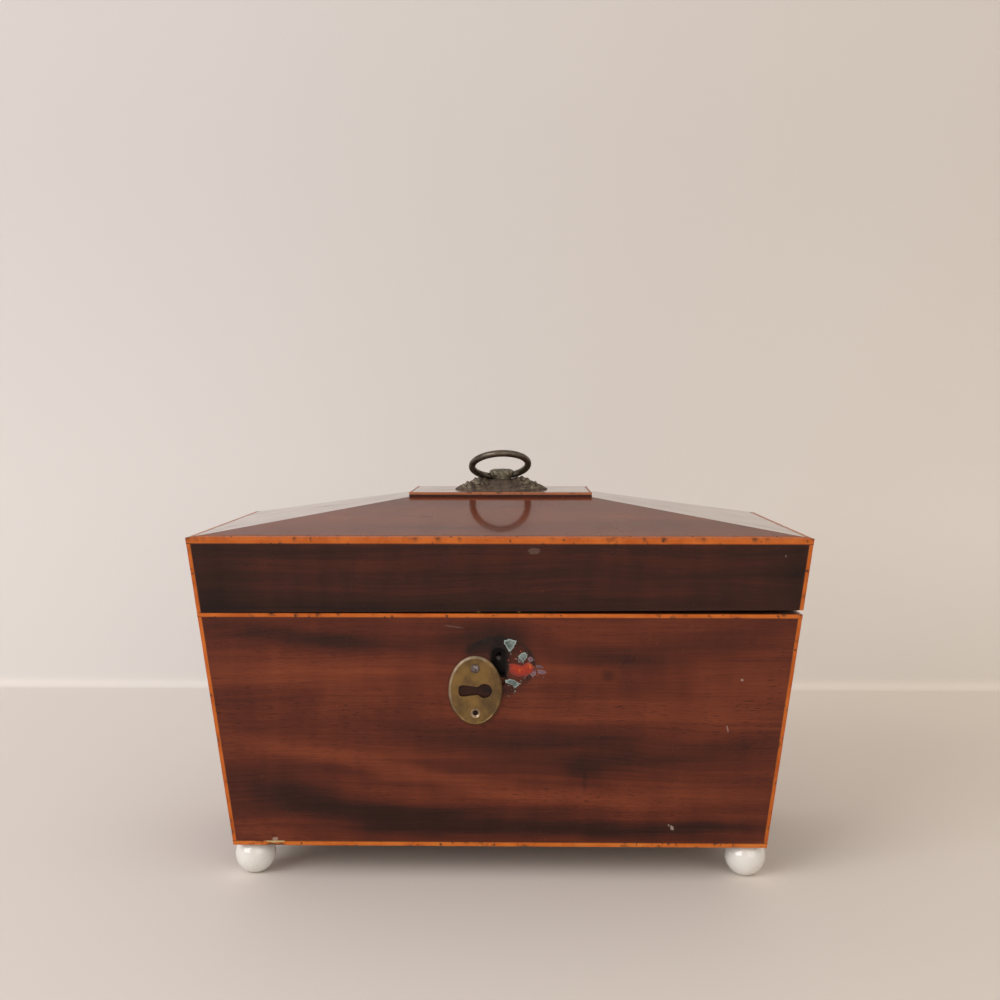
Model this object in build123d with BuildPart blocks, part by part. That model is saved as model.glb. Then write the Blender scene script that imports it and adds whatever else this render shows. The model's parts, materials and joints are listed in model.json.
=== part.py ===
from build123d import *
import os
from math import cos, radians, sin, sqrt, tan

os.makedirs("parts", exist_ok=True)

# An antique tea caddy. X runs left to right, Y runs from the front to the back and Z is up.
# The origin is on the floor, under the middle of the caddy.

# Outside
rim_length = 305.0
rim_depth = 165.0
rim_height = 176.0
seam_height = 138.5
base_height = 17.7
flare_angle = 6.3
plateau_length = 96.0
plateau_depth = 56.0
plateau_height = 195.0
plateau_step = 2.4

# Boards, with the walls measured level
wall = 10.0
floor_thickness = 9.0
lid_edge = 8.0
lining_thickness = 1.2
lining_clearance = 0.5

# Seam under the lid, which has warped up at the front right corner
gap_front_left = 0.25
gap_front_right = 2.2
gap_back = 0.4

# Boxwood strings
corner_string = 2.2
body_rim_string = 2.1
base_string = 2.5
lid_rim_string_height = 3.0
lid_rim_string_width = 3.4
plateau_string = 1.4
string_joint = 0.05

# Ball feet
foot_diameter = 20.7
foot_flat = 5.0
foot_from_side = 8.9
foot_from_front = 12.4
stud_diameter = 4.0
stud_in_foot = 9.0
stud_in_base = 7.0

# Hinges
hinge_from_end = 53.4
hinge_length = 38.0
hinge_inset = 2.4
leaf_width = 6.8
leaf_thickness = 1.2
knuckle_diameter = 4.0
knuckle_count = 5
knuckle_gap = 0.2
hinge_pin_diameter = 1.7
hinge_pin_clearance = 0.05
hinge_room = 0.3
hinge_screw_pitch = 12.6
lid_opening = 100.0
stop_clearance = 0.5

# Screws
screw_head_diameter = 3.6
screw_shank_diameter = 2.0
screw_length = 8.0
screw_edge_distance = 1.0

# How far a cut runs on past the face that it opens
overrun = 1.0

# Tea compartments and their lids, whose tops are measured down from the seam
partition_spacing = 96.0
partition_thickness = 5.0
tea_lid_drop = 11.3
tea_lid_thickness = 5.0
tea_lid_clearance = 0.5
tea_lid_seat_gap = 0.2
tea_pin_diameter = 2.0
tea_pin_in_lid = 6.0
tea_pin_in_wall = 3.0
tea_pin_clearance = 0.05
liner_wall = 2.4
liner_floor = 1.5
liner_clearance = 0.15
tea_knob_diameter = 12.0
tea_knob_height = 8.6
tea_knob_base_diameter = 9.0
tea_knob_neck_diameter = 6.0
tea_knob_neck_height = 2.6
tea_knob_shank_diameter = 4.0

# Glass bowl and its well, with drops measured down from the seam
bowl_diameter = 80.0
bowl_foot_diameter = 46.0
bowl_drop = 7.5
bowl_wall = 3.0
bowl_bottom = 7.0
bowl_inside_flat = 32.0
bowl_foot_height = 3.0
bowl_shoulder_share = 0.96
bowl_shoulder_rise = 0.55
bowl_cove_share = 0.84
bowl_cove_rise = 0.25
bowl_clearance = 1.2
bowl_seat_gap = 0.2
well_floor_thickness = 10.0
platform_drop = 17.5
platform_thickness = 5.0
platform_clearance = 0.2
ledge_size = 4.0

# Ring handle, its post and its mount
ring_diameter = 30.0
ring_wire = 3.6
ring_lean_angle = 26.5
ring_roll_angle = 3.8
ring_clearance = 0.25
ring_pivot_height = 202.0
knob_length = 11.5
knob_width = 10.0
knob_corner = 3.0
knob_crown = 1.2
knob_top = 206.3
post_collar_diameter = 13.0
post_collar_top = 199.9
post_shank_diameter = 5.0
post_below_nut = 0.5
post_hole_clearance = 0.15
rosette_side_reach = 25.4
rosette_front_reach = 17.0
rosette_corner_reach = 18.5
rosette_corner_angle = 42.0
rosette_top = 199.7
rosette_flat_radius = 9.1
rosette_edge = 1.2
nut_diameter = 9.0
nut_thickness = 3.0
washer_diameter = 13.0
washer_thickness = 1.0
washer_clearance = 1.0
nut_recess_depth = 5.4

# Escutcheon, hung from its left pin, whose drop is measured down from the seam
escutcheon_drop = 27.3
escutcheon_long = 35.6
escutcheon_short = 26.7
escutcheon_thickness = 1.2
escutcheon_standoff = 0.3
escutcheon_pin_spacing = 23.1
escutcheon_hole_diameter = 2.6
escutcheon_sink_diameter = 4.4
escutcheon_keyhole_length = 16.5
escutcheon_keyhole_round = 7.4
escutcheon_keyhole_slot = 5.8
escutcheon_keyhole_corner = 1.6
escutcheon_edge_round = 0.48
escutcheon_screw_head = 4.5
escutcheon_screw_dome = 1.4
escutcheon_screw_shank = 2.0
escutcheon_screw_length = 2.8
escutcheon_screw_slot = 0.7
escutcheon_screw_turn = -40.0

# Lock, let into the back of the front board; drops are measured down from the seam
lock_width = 50.0
lock_height = 37.0
lock_plate_thickness = 1.4
lock_case_margin = 4.5
lock_case_depth = 7.0
lock_case_wall = 0.8
selvedge_length = 56.0
selvedge_width = 7.0
selvedge_thickness = 1.6
wood_keyhole_width = 8.0
wood_keyhole_length = 20.2
wood_keyhole_drop = 15.9
case_keyhole_width = 6.4
key_pin_drop = 22.0
key_pin_diameter = 2.2
bolt_throw = 5.0
bolt_drop = 12.0
bolt_bar_height = 4.0
bolt_bar_depth = 3.6
bolt_slack = 0.3
finger_thickness = 2.0
finger_height = 2.2
finger_stem = 3.0
finger_depth = 3.8
finger_drop = 5.4
staple_spacing = 20.0
staple_thickness = 1.6
staple_width = 4.0
staple_leg = 0.7
staple_floor = 0.9
staple_clearance = 0.3
hasp_length = 44.0
hasp_thickness = 1.4
spring_thickness = 0.5
spring_span = 26.0
spring_height = 3.6

# Values worked out from the sizes above
flare = tan(radians(flare_angle))
floor_height = base_height + floor_thickness
lid_side_top = rim_height - lid_edge
slope_top = plateau_height - plateau_step
hinge_height = seam_height + gap_back / 2
escutcheon_height = seam_height - escutcheon_drop
key_pin_height = seam_height - key_pin_drop
wood_keyhole_top = seam_height - wood_keyhole_drop
wood_keyhole_bottom = wood_keyhole_top - wood_keyhole_length
tea_lid_top = seam_height - tea_lid_drop
bowl_top = seam_height - bowl_drop
platform_top = seam_height - platform_drop
hinge_radius = knuckle_diameter / 2
hinge_room_radius = hinge_radius + hinge_room
bevel_angle = (lid_opening + 2 * stop_clearance) / 2
far = 2 * rim_length


def half_length(z):
    """Half the outside length at height z."""
    return rim_length / 2 - (rim_height - z) * flare


def half_depth(z):
    """Half the outside depth at height z."""
    return rim_depth / 2 - (rim_height - z) * flare


def inner_half_length(z):
    """Half the inside length of the body or lid at height z."""
    return half_length(z) - wall


def inner_half_depth(z):
    """Half the inside depth of the body or lid at height z."""
    return half_depth(z) - wall


hinge_y = half_depth(seam_height) - hinge_inset
foot_x = half_length(base_height) - foot_from_side
foot_y = half_depth(base_height) - foot_from_front
partition_inner = partition_spacing / 2
partition_outer = partition_inner + partition_thickness


def box_between(x, y, z):
    """A box between the two limits given on each axis."""
    with BuildPart() as box:
        with Locations(((x[0] + x[1]) / 2, (y[0] + y[1]) / 2, (z[0] + z[1]) / 2)):
            Box(x[1] - x[0], y[1] - y[0], z[1] - z[0])
    return box.part


def tapered(low, high, edges):
    """A block whose left, right, front and back edges at height z are edges(z)."""
    sections = []
    for z in (low, high):
        left, right, front, back = edges(z)
        with BuildSketch(Plane.XY.offset(z)) as section:
            with Locations(((left + right) / 2, (front + back) / 2)):
                Rectangle(right - left, back - front)
        sections.append(section.sketch)
    with BuildPart() as block:
        loft(sections, ruled=True)
    return block.part


def cylinder_along_x(x, y, z, radius):
    """A round bar along X between the two x values."""
    with BuildPart(Plane.YZ.offset(x[0])) as bar:
        with Locations((y, z)):
            Cylinder(radius, x[1] - x[0], align=(Align.CENTER, Align.CENTER, Align.MIN))
    return bar.part


def wood_screw(length):
    """A countersunk screw pointing down, with its head flush at the origin."""
    head = screw_head_diameter / 2
    shank = screw_shank_diameter / 2
    with BuildPart() as screw:
        with BuildSketch(Plane.XZ):
            with BuildLine():
                Polyline((0, 0), (head, 0), (shank, shank - head), (shank, -length + shank),
                         (0, -length), close=True)
            make_face()
        revolve(axis=Axis.Z)
    return screw.part


def placed(piece, x, y, z):
    """A copy of a piece moved to a point."""
    return piece.moved(Location((x, y, z)))


def upside_down(piece):
    """A copy of a piece turned over about X."""
    return piece.rotate(Axis.X, 180)


def write(builder, name):
    """Label a finished piece and write its file."""
    builder.part.label = name
    export_step(builder.part, f"parts/{name}.step")


# Boxwood strings of the body: each lies in a rebate of the same size


def corner_edges(side_x, side_y):
    """Edges of the square string at one corner; the signs choose the corner."""
    def edges(z):
        x_outer = side_x * half_length(z)
        x_inner = side_x * (half_length(z) - corner_string)
        y_outer = side_y * half_depth(z)
        y_inner = side_y * (half_depth(z) - corner_string)
        return (min(x_outer, x_inner), max(x_outer, x_inner),
                min(y_outer, y_inner), max(y_outer, y_inner))
    return edges


def front_strip(low, high, width):
    """A string along the front, over the full length."""
    return tapered(low, high, lambda z: (-half_length(z), half_length(z),
                                         -half_depth(z), -half_depth(z) + width))


def side_strip(side, low, high, width, back):
    """A string along the left (-1) or right (1) side, from the front string to back(z)."""
    def edges(z):
        outer = side * half_length(z)
        inner = side * (half_length(z) - width)
        return min(outer, inner), max(outer, inner), -half_depth(z) + width + string_joint, back(z)
    return tapered(low, high, edges)


# The V-shaped groove along the back seam: its two faces meet and stop the lid when it is open


def bevel_cutter(up):
    """A wedge outside the hinge axis, above it (up = 1) or below it (up = -1)."""
    reach = 4 * hinge_inset + hinge_radius
    rise = up * reach * tan(radians(bevel_angle))
    with BuildPart() as wedge:
        with BuildSketch(Plane.YZ):
            with BuildLine():
                Polyline((hinge_y, hinge_height), (hinge_y + reach, hinge_height),
                         (hinge_y + reach, hinge_height + rise), close=True)
            make_face()
        extrude(amount=far / 2, both=True)
    return wedge.part


body_bevel = bevel_cutter(-1)
lid_bevel = bevel_cutter(1)

corner_signs = {"front_left": (-1, -1), "front_right": (1, -1),
                "back_left": (-1, 1), "back_right": (1, 1)}

with BuildPart() as body_corner_strings:
    for corner, (side_x, side_y) in corner_signs.items():
        top = seam_height - (body_rim_string if side_y < 0 else 0)
        add(tapered(base_height + base_string, top, corner_edges(side_x, side_y)))
    add(body_bevel, mode=Mode.SUBTRACT)
write(body_corner_strings, "body_corner_strings")

with BuildPart() as body_rim_strings:
    add(front_strip(seam_height - body_rim_string, seam_height, body_rim_string))
    for side in (-1, 1):
        add(side_strip(side, seam_height - body_rim_string, seam_height, body_rim_string,
                       lambda z: half_depth(z) - corner_string - string_joint))
    add(body_bevel, mode=Mode.SUBTRACT)
write(body_rim_strings, "body_rim_strings")

with BuildPart() as base_edge_strings:
    add(front_strip(base_height, base_height + base_string, base_string))
    for side in (-1, 1):
        add(side_strip(side, base_height, base_height + base_string, base_string, half_depth))
write(base_edge_strings, "base_edge_strings")

# Hinge positions and the room cut round each set of knuckles
hinge_x = half_length(seam_height) - hinge_from_end
hinge_sides = {"left": -hinge_x, "right": hinge_x}
screw = wood_screw(screw_length)
hinge_screw_y = hinge_y - hinge_room_radius - (leaf_width - hinge_room_radius) / 2
hinge_screw_x = [x + step * hinge_screw_pitch for x in hinge_sides.values() for step in (-1, 0, 1)]
lid_leaf_low = seam_height + gap_back


def leaf_plate(x, low, back=hinge_y - hinge_room_radius):
    """The flat plate of a hinge leaf, from its front edge to a back edge."""
    return box_between((x - hinge_length / 2, x + hinge_length / 2),
                       (hinge_y - leaf_width, back), (low, low + leaf_thickness))


def knuckle_room(x):
    """The round recess that both back boards have for a hinge's knuckles."""
    half = hinge_length / 2 + hinge_room
    return cylinder_along_x((x - half, x + half), hinge_y, hinge_height, hinge_room_radius)


with BuildPart() as body_hinge_screws:
    for x in hinge_screw_x:
        add(placed(screw, x, hinge_screw_y, seam_height))
write(body_hinge_screws, "body_hinge_screws")

with BuildPart() as lid_hinge_screws:
    for x in hinge_screw_x:
        add(placed(upside_down(screw), x, hinge_screw_y, lid_leaf_low))
write(lid_hinge_screws, "lid_hinge_screws")


def hinge_leaf(x, low, own_parity, bore_diameter, screws):
    """One leaf: its plate, the knuckles of its own parity and the pin's bore."""
    pitch = hinge_length / knuckle_count
    with BuildPart() as leaf:
        add(leaf_plate(x, low))
        for index in range(knuckle_count):
            start = x - hinge_length / 2 + index * pitch + knuckle_gap / 2
            stop = start + pitch - knuckle_gap
            if index % 2 == own_parity:
                add(cylinder_along_x((start, stop), hinge_y, hinge_height, hinge_radius))
                add(box_between((start, stop), (hinge_y - hinge_room_radius, hinge_y),
                                (low, low + leaf_thickness)))
        add(cylinder_along_x((x - far, x + far), hinge_y, hinge_height, bore_diameter / 2),
            mode=Mode.SUBTRACT)
        add(screws, mode=Mode.SUBTRACT)
    return leaf


for side, x in hinge_sides.items():
    body_leaf = hinge_leaf(x, seam_height - leaf_thickness, 0, hinge_pin_diameter, body_hinge_screws.part)
    write(body_leaf, f"body_hinge_leaf_{side}")
    lid_leaf = hinge_leaf(x, lid_leaf_low, 1, hinge_pin_diameter + 2 * hinge_pin_clearance,
                          lid_hinge_screws.part)
    write(lid_leaf, f"lid_hinge_leaf_{side}")
    with BuildPart() as hinge_pin:
        add(cylinder_along_x((x - hinge_length / 2, x + hinge_length / 2), hinge_y, hinge_height,
                             hinge_pin_diameter / 2))
    write(hinge_pin, f"hinge_pin_{side}")

# Frame of the lock: on the inner face of the front board at the seam, with Z through the board
# to the outside and Y up along the board
outward = (0, -cos(radians(flare_angle)), -sin(radians(flare_angle)))
lock_plane = Plane(origin=(0, -inner_half_depth(seam_height), seam_height), x_dir=(1, 0, 0),
                   z_dir=outward)
board_through = wall * cos(radians(flare_angle))


def along_board(height):
    """Distance down the front board from the seam to a height."""
    return (height - seam_height) / cos(radians(flare_angle))


def lock_box(x, y, z):
    """A box between two limits on each axis of the lock's frame."""
    with BuildPart(lock_plane) as box:
        with Locations(((x[0] + x[1]) / 2, (y[0] + y[1]) / 2, (z[0] + z[1]) / 2)):
            Box(x[1] - x[0], y[1] - y[0], z[1] - z[0])
    return box.part


def keyhole_slug(width, bottom, top, z):
    """The space of a round-ended keyhole through the front board, between two depths."""
    low = along_board(bottom)
    high = along_board(top)
    with BuildPart(lock_plane) as slug:
        with BuildSketch(lock_plane.offset(z[0])):
            with Locations((0, (low + high) / 2)):
                SlotCenterToCenter(high - low - width, width, rotation=90)
        extrude(amount=z[1] - z[0])
    return slug.part


# Lock: a plate with a selvedge on the board's top edge, a cap on its hidden side, a bolt with two
# fingers, a spring and a pin for the key
selvedge_y = -inner_half_depth(seam_height) - selvedge_width / 2
finger_y = -inner_half_depth(seam_height) - finger_depth + finger_drop * sin(radians(flare_angle))
cap_half_width = lock_width / 2 - lock_case_margin
plate_top = -selvedge_thickness / 2
plate_bottom = -lock_height
cap_bottom = plate_bottom + lock_case_margin
cap_top = -selvedge_thickness - bolt_slack
staple_x = (-staple_spacing / 2, staple_spacing / 2)
selvedge_screw_x = selvedge_length / 2 - screw_head_diameter / 2 - screw_edge_distance
plate_screw_x = lock_width / 2 - lock_case_margin / 2
plate_screw_y = plate_bottom + lock_case_margin

selvedge_box = box_between((-selvedge_length / 2, selvedge_length / 2),
                           (selvedge_y - selvedge_width / 2, selvedge_y + selvedge_width / 2),
                           (seam_height - selvedge_thickness, seam_height))
plate_box = lock_box((-lock_width / 2, lock_width / 2), (plate_bottom, plate_top),
                     (0, lock_plate_thickness))
case_box = lock_box((-cap_half_width, cap_half_width), (cap_bottom, 0), (0, lock_case_depth))

with BuildPart() as lock_screws:
    for x in (-selvedge_screw_x, selvedge_screw_x):
        add(placed(screw, x, selvedge_y, seam_height))
    for x in (-plate_screw_x, plate_screw_x):
        head_plane = Plane(origin=lock_plane.from_local_coords((x, plate_screw_y, 0)), x_dir=(1, 0, 0),
                           z_dir=-lock_plane.z_dir)
        add(screw.moved(head_plane.location))
write(lock_screws, "lock_screws")

with BuildPart() as lock_plate:
    add(plate_box)
    add(selvedge_box)
    slot_half_length = staple_thickness / 2 + staple_clearance
    slot_half_width = staple_width / 2 + staple_clearance
    for x in staple_x:
        add(box_between((x - slot_half_length, x + slot_half_length),
                        (finger_y - slot_half_width, finger_y + slot_half_width),
                        (seam_height - 3 * selvedge_thickness, seam_height + overrun)),
            mode=Mode.SUBTRACT)
    add(lock_screws.part, mode=Mode.SUBTRACT)
write(lock_plate, "lock_plate")

with BuildPart() as lock_cap:
    add(lock_box((-cap_half_width, cap_half_width), (cap_bottom, cap_top),
                 (lock_plate_thickness, lock_case_depth)))
    add(lock_box((-cap_half_width + lock_case_wall, cap_half_width - lock_case_wall),
                 (cap_bottom + lock_case_wall, cap_top + overrun),
                 (lock_plate_thickness, lock_case_depth - lock_case_wall)), mode=Mode.SUBTRACT)
    add(keyhole_slug(case_keyhole_width, wood_keyhole_bottom, wood_keyhole_top,
                     (lock_case_depth - 2 * lock_case_wall, lock_case_depth + overrun)), mode=Mode.SUBTRACT)
write(lock_cap, "lock_cap")

with BuildPart(lock_plane.offset(lock_plate_thickness)) as lock_key_pin:
    with Locations((0, along_board(key_pin_height), 0)):
        Cylinder(key_pin_diameter / 2, lock_case_depth - lock_plate_thickness,
                 align=(Align.CENTER, Align.CENTER, Align.MIN))
write(lock_key_pin, "lock_key_pin")

# Each finger is as long as the throw, so that its stem stops short of the staple
finger_length = bolt_throw
finger_tip_gap = bolt_slack + staple_thickness / 2
bar_low = -bolt_drop
bar_high = bar_low + bolt_bar_height
bar_near = lock_plate_thickness + bolt_slack
bar_end = staple_x[0] - finger_tip_gap - finger_length - finger_stem

with BuildPart() as lock_bolt:
    add(lock_box((bar_end, -bar_end - 2 * bolt_throw), (bar_low, bar_high),
                 (bar_near, bar_near + bolt_bar_depth)))
    finger_z = (finger_depth - finger_thickness / 2, finger_depth + finger_thickness / 2)
    finger_top = -finger_drop + finger_height
    for x in staple_x:
        tip = x - finger_tip_gap
        add(lock_box((tip - finger_length - finger_stem, tip - finger_length),
                     (bar_low + bolt_bar_height / 2, finger_top), finger_z))
        add(lock_box((tip - finger_length - finger_stem / 2, tip), (-finger_drop, finger_top), finger_z))
    add(lock_box((-bolt_throw, bolt_throw), (bar_low - overrun, bar_low + bolt_bar_height / 2),
                 (0, lock_case_depth)), mode=Mode.SUBTRACT)
write(lock_bolt, "lock_bolt")

with BuildPart() as lock_spring:
    spring_crown = bar_low - bolt_slack / 2
    with BuildSketch(lock_plane.offset(lock_plate_thickness)):
        with BuildLine():
            outer = ThreePointArc((-spring_span / 2, spring_crown - spring_height), (0, spring_crown),
                                  (spring_span / 2, spring_crown - spring_height))
            inner = ThreePointArc((-spring_span / 2 + 2 * spring_thickness, spring_crown - spring_height),
                                  (0, spring_crown - spring_thickness),
                                  (spring_span / 2 - 2 * spring_thickness, spring_crown - spring_height))
            Line(outer @ 0, inner @ 0)
            Line(outer @ 1, inner @ 1)
        make_face()
    extrude(amount=bolt_bar_depth / 2)
write(lock_spring, "lock_spring")

# Escutcheon frame: on the outside of the front board at its one pin, with Z outwards
escutcheon_x = -escutcheon_pin_spacing / 2
escutcheon_plane = Plane(origin=(escutcheon_x, -half_depth(escutcheon_height), escutcheon_height),
                         x_dir=(1, 0, 0), z_dir=outward)

with BuildPart(escutcheon_plane) as escutcheon_pilot:
    with Locations((0, 0, -escutcheon_screw_length)):
        Cylinder(escutcheon_screw_shank / 2, escutcheon_screw_length + overrun,
                 align=(Align.CENTER, Align.CENTER, Align.MIN))
empty_pilot = escutcheon_pilot.part.moved(Location((escutcheon_pin_spacing, 0, 0)))

head_low = escutcheon_standoff + escutcheon_thickness + escutcheon_standoff / 2
head_radius = escutcheon_screw_head / 2
head_top = head_low + escutcheon_screw_dome
dome_radius = (head_radius ** 2 + escutcheon_screw_dome ** 2) / (2 * escutcheon_screw_dome)

with BuildPart(escutcheon_plane) as escutcheon_screw:
    with Locations((0, 0, head_top - dome_radius)):
        Sphere(dome_radius)
    split(bisect_by=escutcheon_plane.offset(head_low), keep=Keep.TOP)
    with Locations((0, 0, head_top)):
        Box(escutcheon_screw_head * 2, escutcheon_screw_slot, escutcheon_screw_dome,
            rotation=(0, 0, escutcheon_screw_turn), mode=Mode.SUBTRACT)
    with Locations((0, 0, -escutcheon_screw_length)):
        Cylinder(escutcheon_screw_shank / 2, escutcheon_screw_length + head_low + escutcheon_screw_dome / 4,
                 align=(Align.CENTER, Align.CENTER, Align.MIN))
write(escutcheon_screw, "escutcheon_screw")

with BuildPart(escutcheon_plane) as escutcheon_plate:
    plate_centre = (0, -escutcheon_pin_spacing / 2)
    with BuildSketch(escutcheon_plane.offset(escutcheon_standoff)):
        with Locations(plate_centre):
            Ellipse(escutcheon_short / 2, escutcheon_long / 2)
            round_radius = escutcheon_keyhole_round / 2
            slot_length = escutcheon_keyhole_length - round_radius
            with Locations((escutcheon_keyhole_length / 2 - round_radius, 0)):
                Circle(round_radius, mode=Mode.SUBTRACT)
            with Locations((-round_radius / 2, 0)):
                RectangleRounded(slot_length, escutcheon_keyhole_slot, escutcheon_keyhole_corner,
                                 mode=Mode.SUBTRACT)
        Circle(escutcheon_hole_diameter / 2, mode=Mode.SUBTRACT)
        with Locations((0, -escutcheon_pin_spacing)):
            Circle(escutcheon_hole_diameter / 2, mode=Mode.SUBTRACT)
    extrude(amount=escutcheon_thickness)
    front_edges = escutcheon_plate.edges().group_by(Axis(escutcheon_plane.origin, outward))[-1]
    fillet(front_edges.filter_by(GeomType.ELLIPSE), escutcheon_edge_round)
    front_edges = escutcheon_plate.edges().group_by(Axis(escutcheon_plane.origin, outward))[-1]
    pin_holes = [edge for edge in front_edges.filter_by(GeomType.CIRCLE)
                 if abs(edge.radius - escutcheon_hole_diameter / 2) < 0.01]
    chamfer(pin_holes, (escutcheon_sink_diameter - escutcheon_hole_diameter) / 2)
write(escutcheon_plate, "escutcheon_plate")

# Body: floor, four boards, ball feet on studs

with BuildPart() as foot_studs:
    with Locations([(side_x * foot_x, side_y * foot_y, base_height - stud_in_foot)
                    for side_x, side_y in corner_signs.values()]):
        Cylinder(stud_diameter / 2, stud_in_foot + stud_in_base,
                 align=(Align.CENTER, Align.CENTER, Align.MIN))
write(foot_studs, "foot_studs")

foot_radius = foot_diameter / 2
foot_centre_height = sqrt(foot_radius ** 2 - (foot_flat / 2) ** 2)
for corner, (side_x, side_y) in corner_signs.items():
    with BuildPart() as foot:
        with Locations((side_x * foot_x, side_y * foot_y, foot_centre_height)):
            Sphere(foot_radius)
        split(bisect_by=Plane.XY, keep=Keep.TOP)
        split(bisect_by=Plane.XY.offset(base_height), keep=Keep.BOTTOM)
        add(foot_studs.part, mode=Mode.SUBTRACT)
    write(foot, f"foot_{corner}")


def whole_outline(z):
    """Edges of the whole outside at height z."""
    return -half_length(z), half_length(z), -half_depth(z), half_depth(z)


def end_wall(side):
    """Edges of the front (-1) or back (1) board, which run the full length."""
    def edges(z):
        outer = side * half_depth(z)
        inner = side * inner_half_depth(z)
        return -half_length(z), half_length(z), min(outer, inner), max(outer, inner)
    return edges


def side_wall(side):
    """Edges of the left (-1) or right (1) board, which fits between the front and the back."""
    def edges(z):
        outer = side * half_length(z)
        inner = side * inner_half_length(z)
        return min(outer, inner), max(outer, inner), -inner_half_depth(z), inner_half_depth(z)
    return edges


with BuildPart() as base_board:
    add(tapered(base_height, floor_height, whole_outline))
    add(base_edge_strings.part, mode=Mode.SUBTRACT)
    add(body_corner_strings.part, mode=Mode.SUBTRACT)
    add(foot_studs.part, mode=Mode.SUBTRACT)
write(base_board, "base_board")

with BuildPart() as front_board:
    add(tapered(floor_height, seam_height, end_wall(-1)))
    add(body_corner_strings.part, mode=Mode.SUBTRACT)
    add(body_rim_strings.part, mode=Mode.SUBTRACT)
    for pocket in (plate_box, selvedge_box, case_box, lock_screws.part):
        add(pocket, mode=Mode.SUBTRACT)
    add(keyhole_slug(wood_keyhole_width, wood_keyhole_bottom, wood_keyhole_top,
                     (lock_case_depth - lock_case_wall, board_through + lock_case_wall)),
        mode=Mode.SUBTRACT)
    for pilot in (escutcheon_pilot.part, empty_pilot):
        add(pilot, mode=Mode.SUBTRACT)
write(front_board, "front_board")

with BuildPart() as back_board:
    add(tapered(floor_height, seam_height, end_wall(1)))
    add(body_corner_strings.part, mode=Mode.SUBTRACT)
    add(body_rim_strings.part, mode=Mode.SUBTRACT)
    add(body_bevel, mode=Mode.SUBTRACT)
    for x in hinge_sides.values():
        add(leaf_plate(x, seam_height - leaf_thickness, hinge_y), mode=Mode.SUBTRACT)
        add(knuckle_room(x), mode=Mode.SUBTRACT)
    add(body_hinge_screws.part, mode=Mode.SUBTRACT)
write(back_board, "back_board")

# Tea lids turn on two pins each: one in the partition and one in the side board

tea_lid_low = tea_lid_top - tea_lid_thickness
tea_axis_z = tea_lid_top - tea_lid_thickness / 2
tea_axis_y = inner_half_depth(tea_axis_z) - tea_lid_clearance - tea_lid_thickness / 2
tea_lid_inner_x = partition_outer + tea_lid_clearance
tea_lid_outer_x = inner_half_length(tea_lid_low) - tea_lid_clearance

with BuildPart() as tea_lid_pins:
    for side in (-1, 1):
        spans = ((partition_outer - tea_pin_in_wall, tea_lid_inner_x + tea_pin_in_lid),
                 (tea_lid_outer_x - tea_pin_in_lid, inner_half_length(tea_axis_z) + tea_pin_in_wall))
        for near, away in spans:
            add(cylinder_along_x(sorted((side * near, side * away)), tea_axis_y, tea_axis_z,
                                 tea_pin_diameter / 2))
write(tea_lid_pins, "tea_lid_pins")

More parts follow.
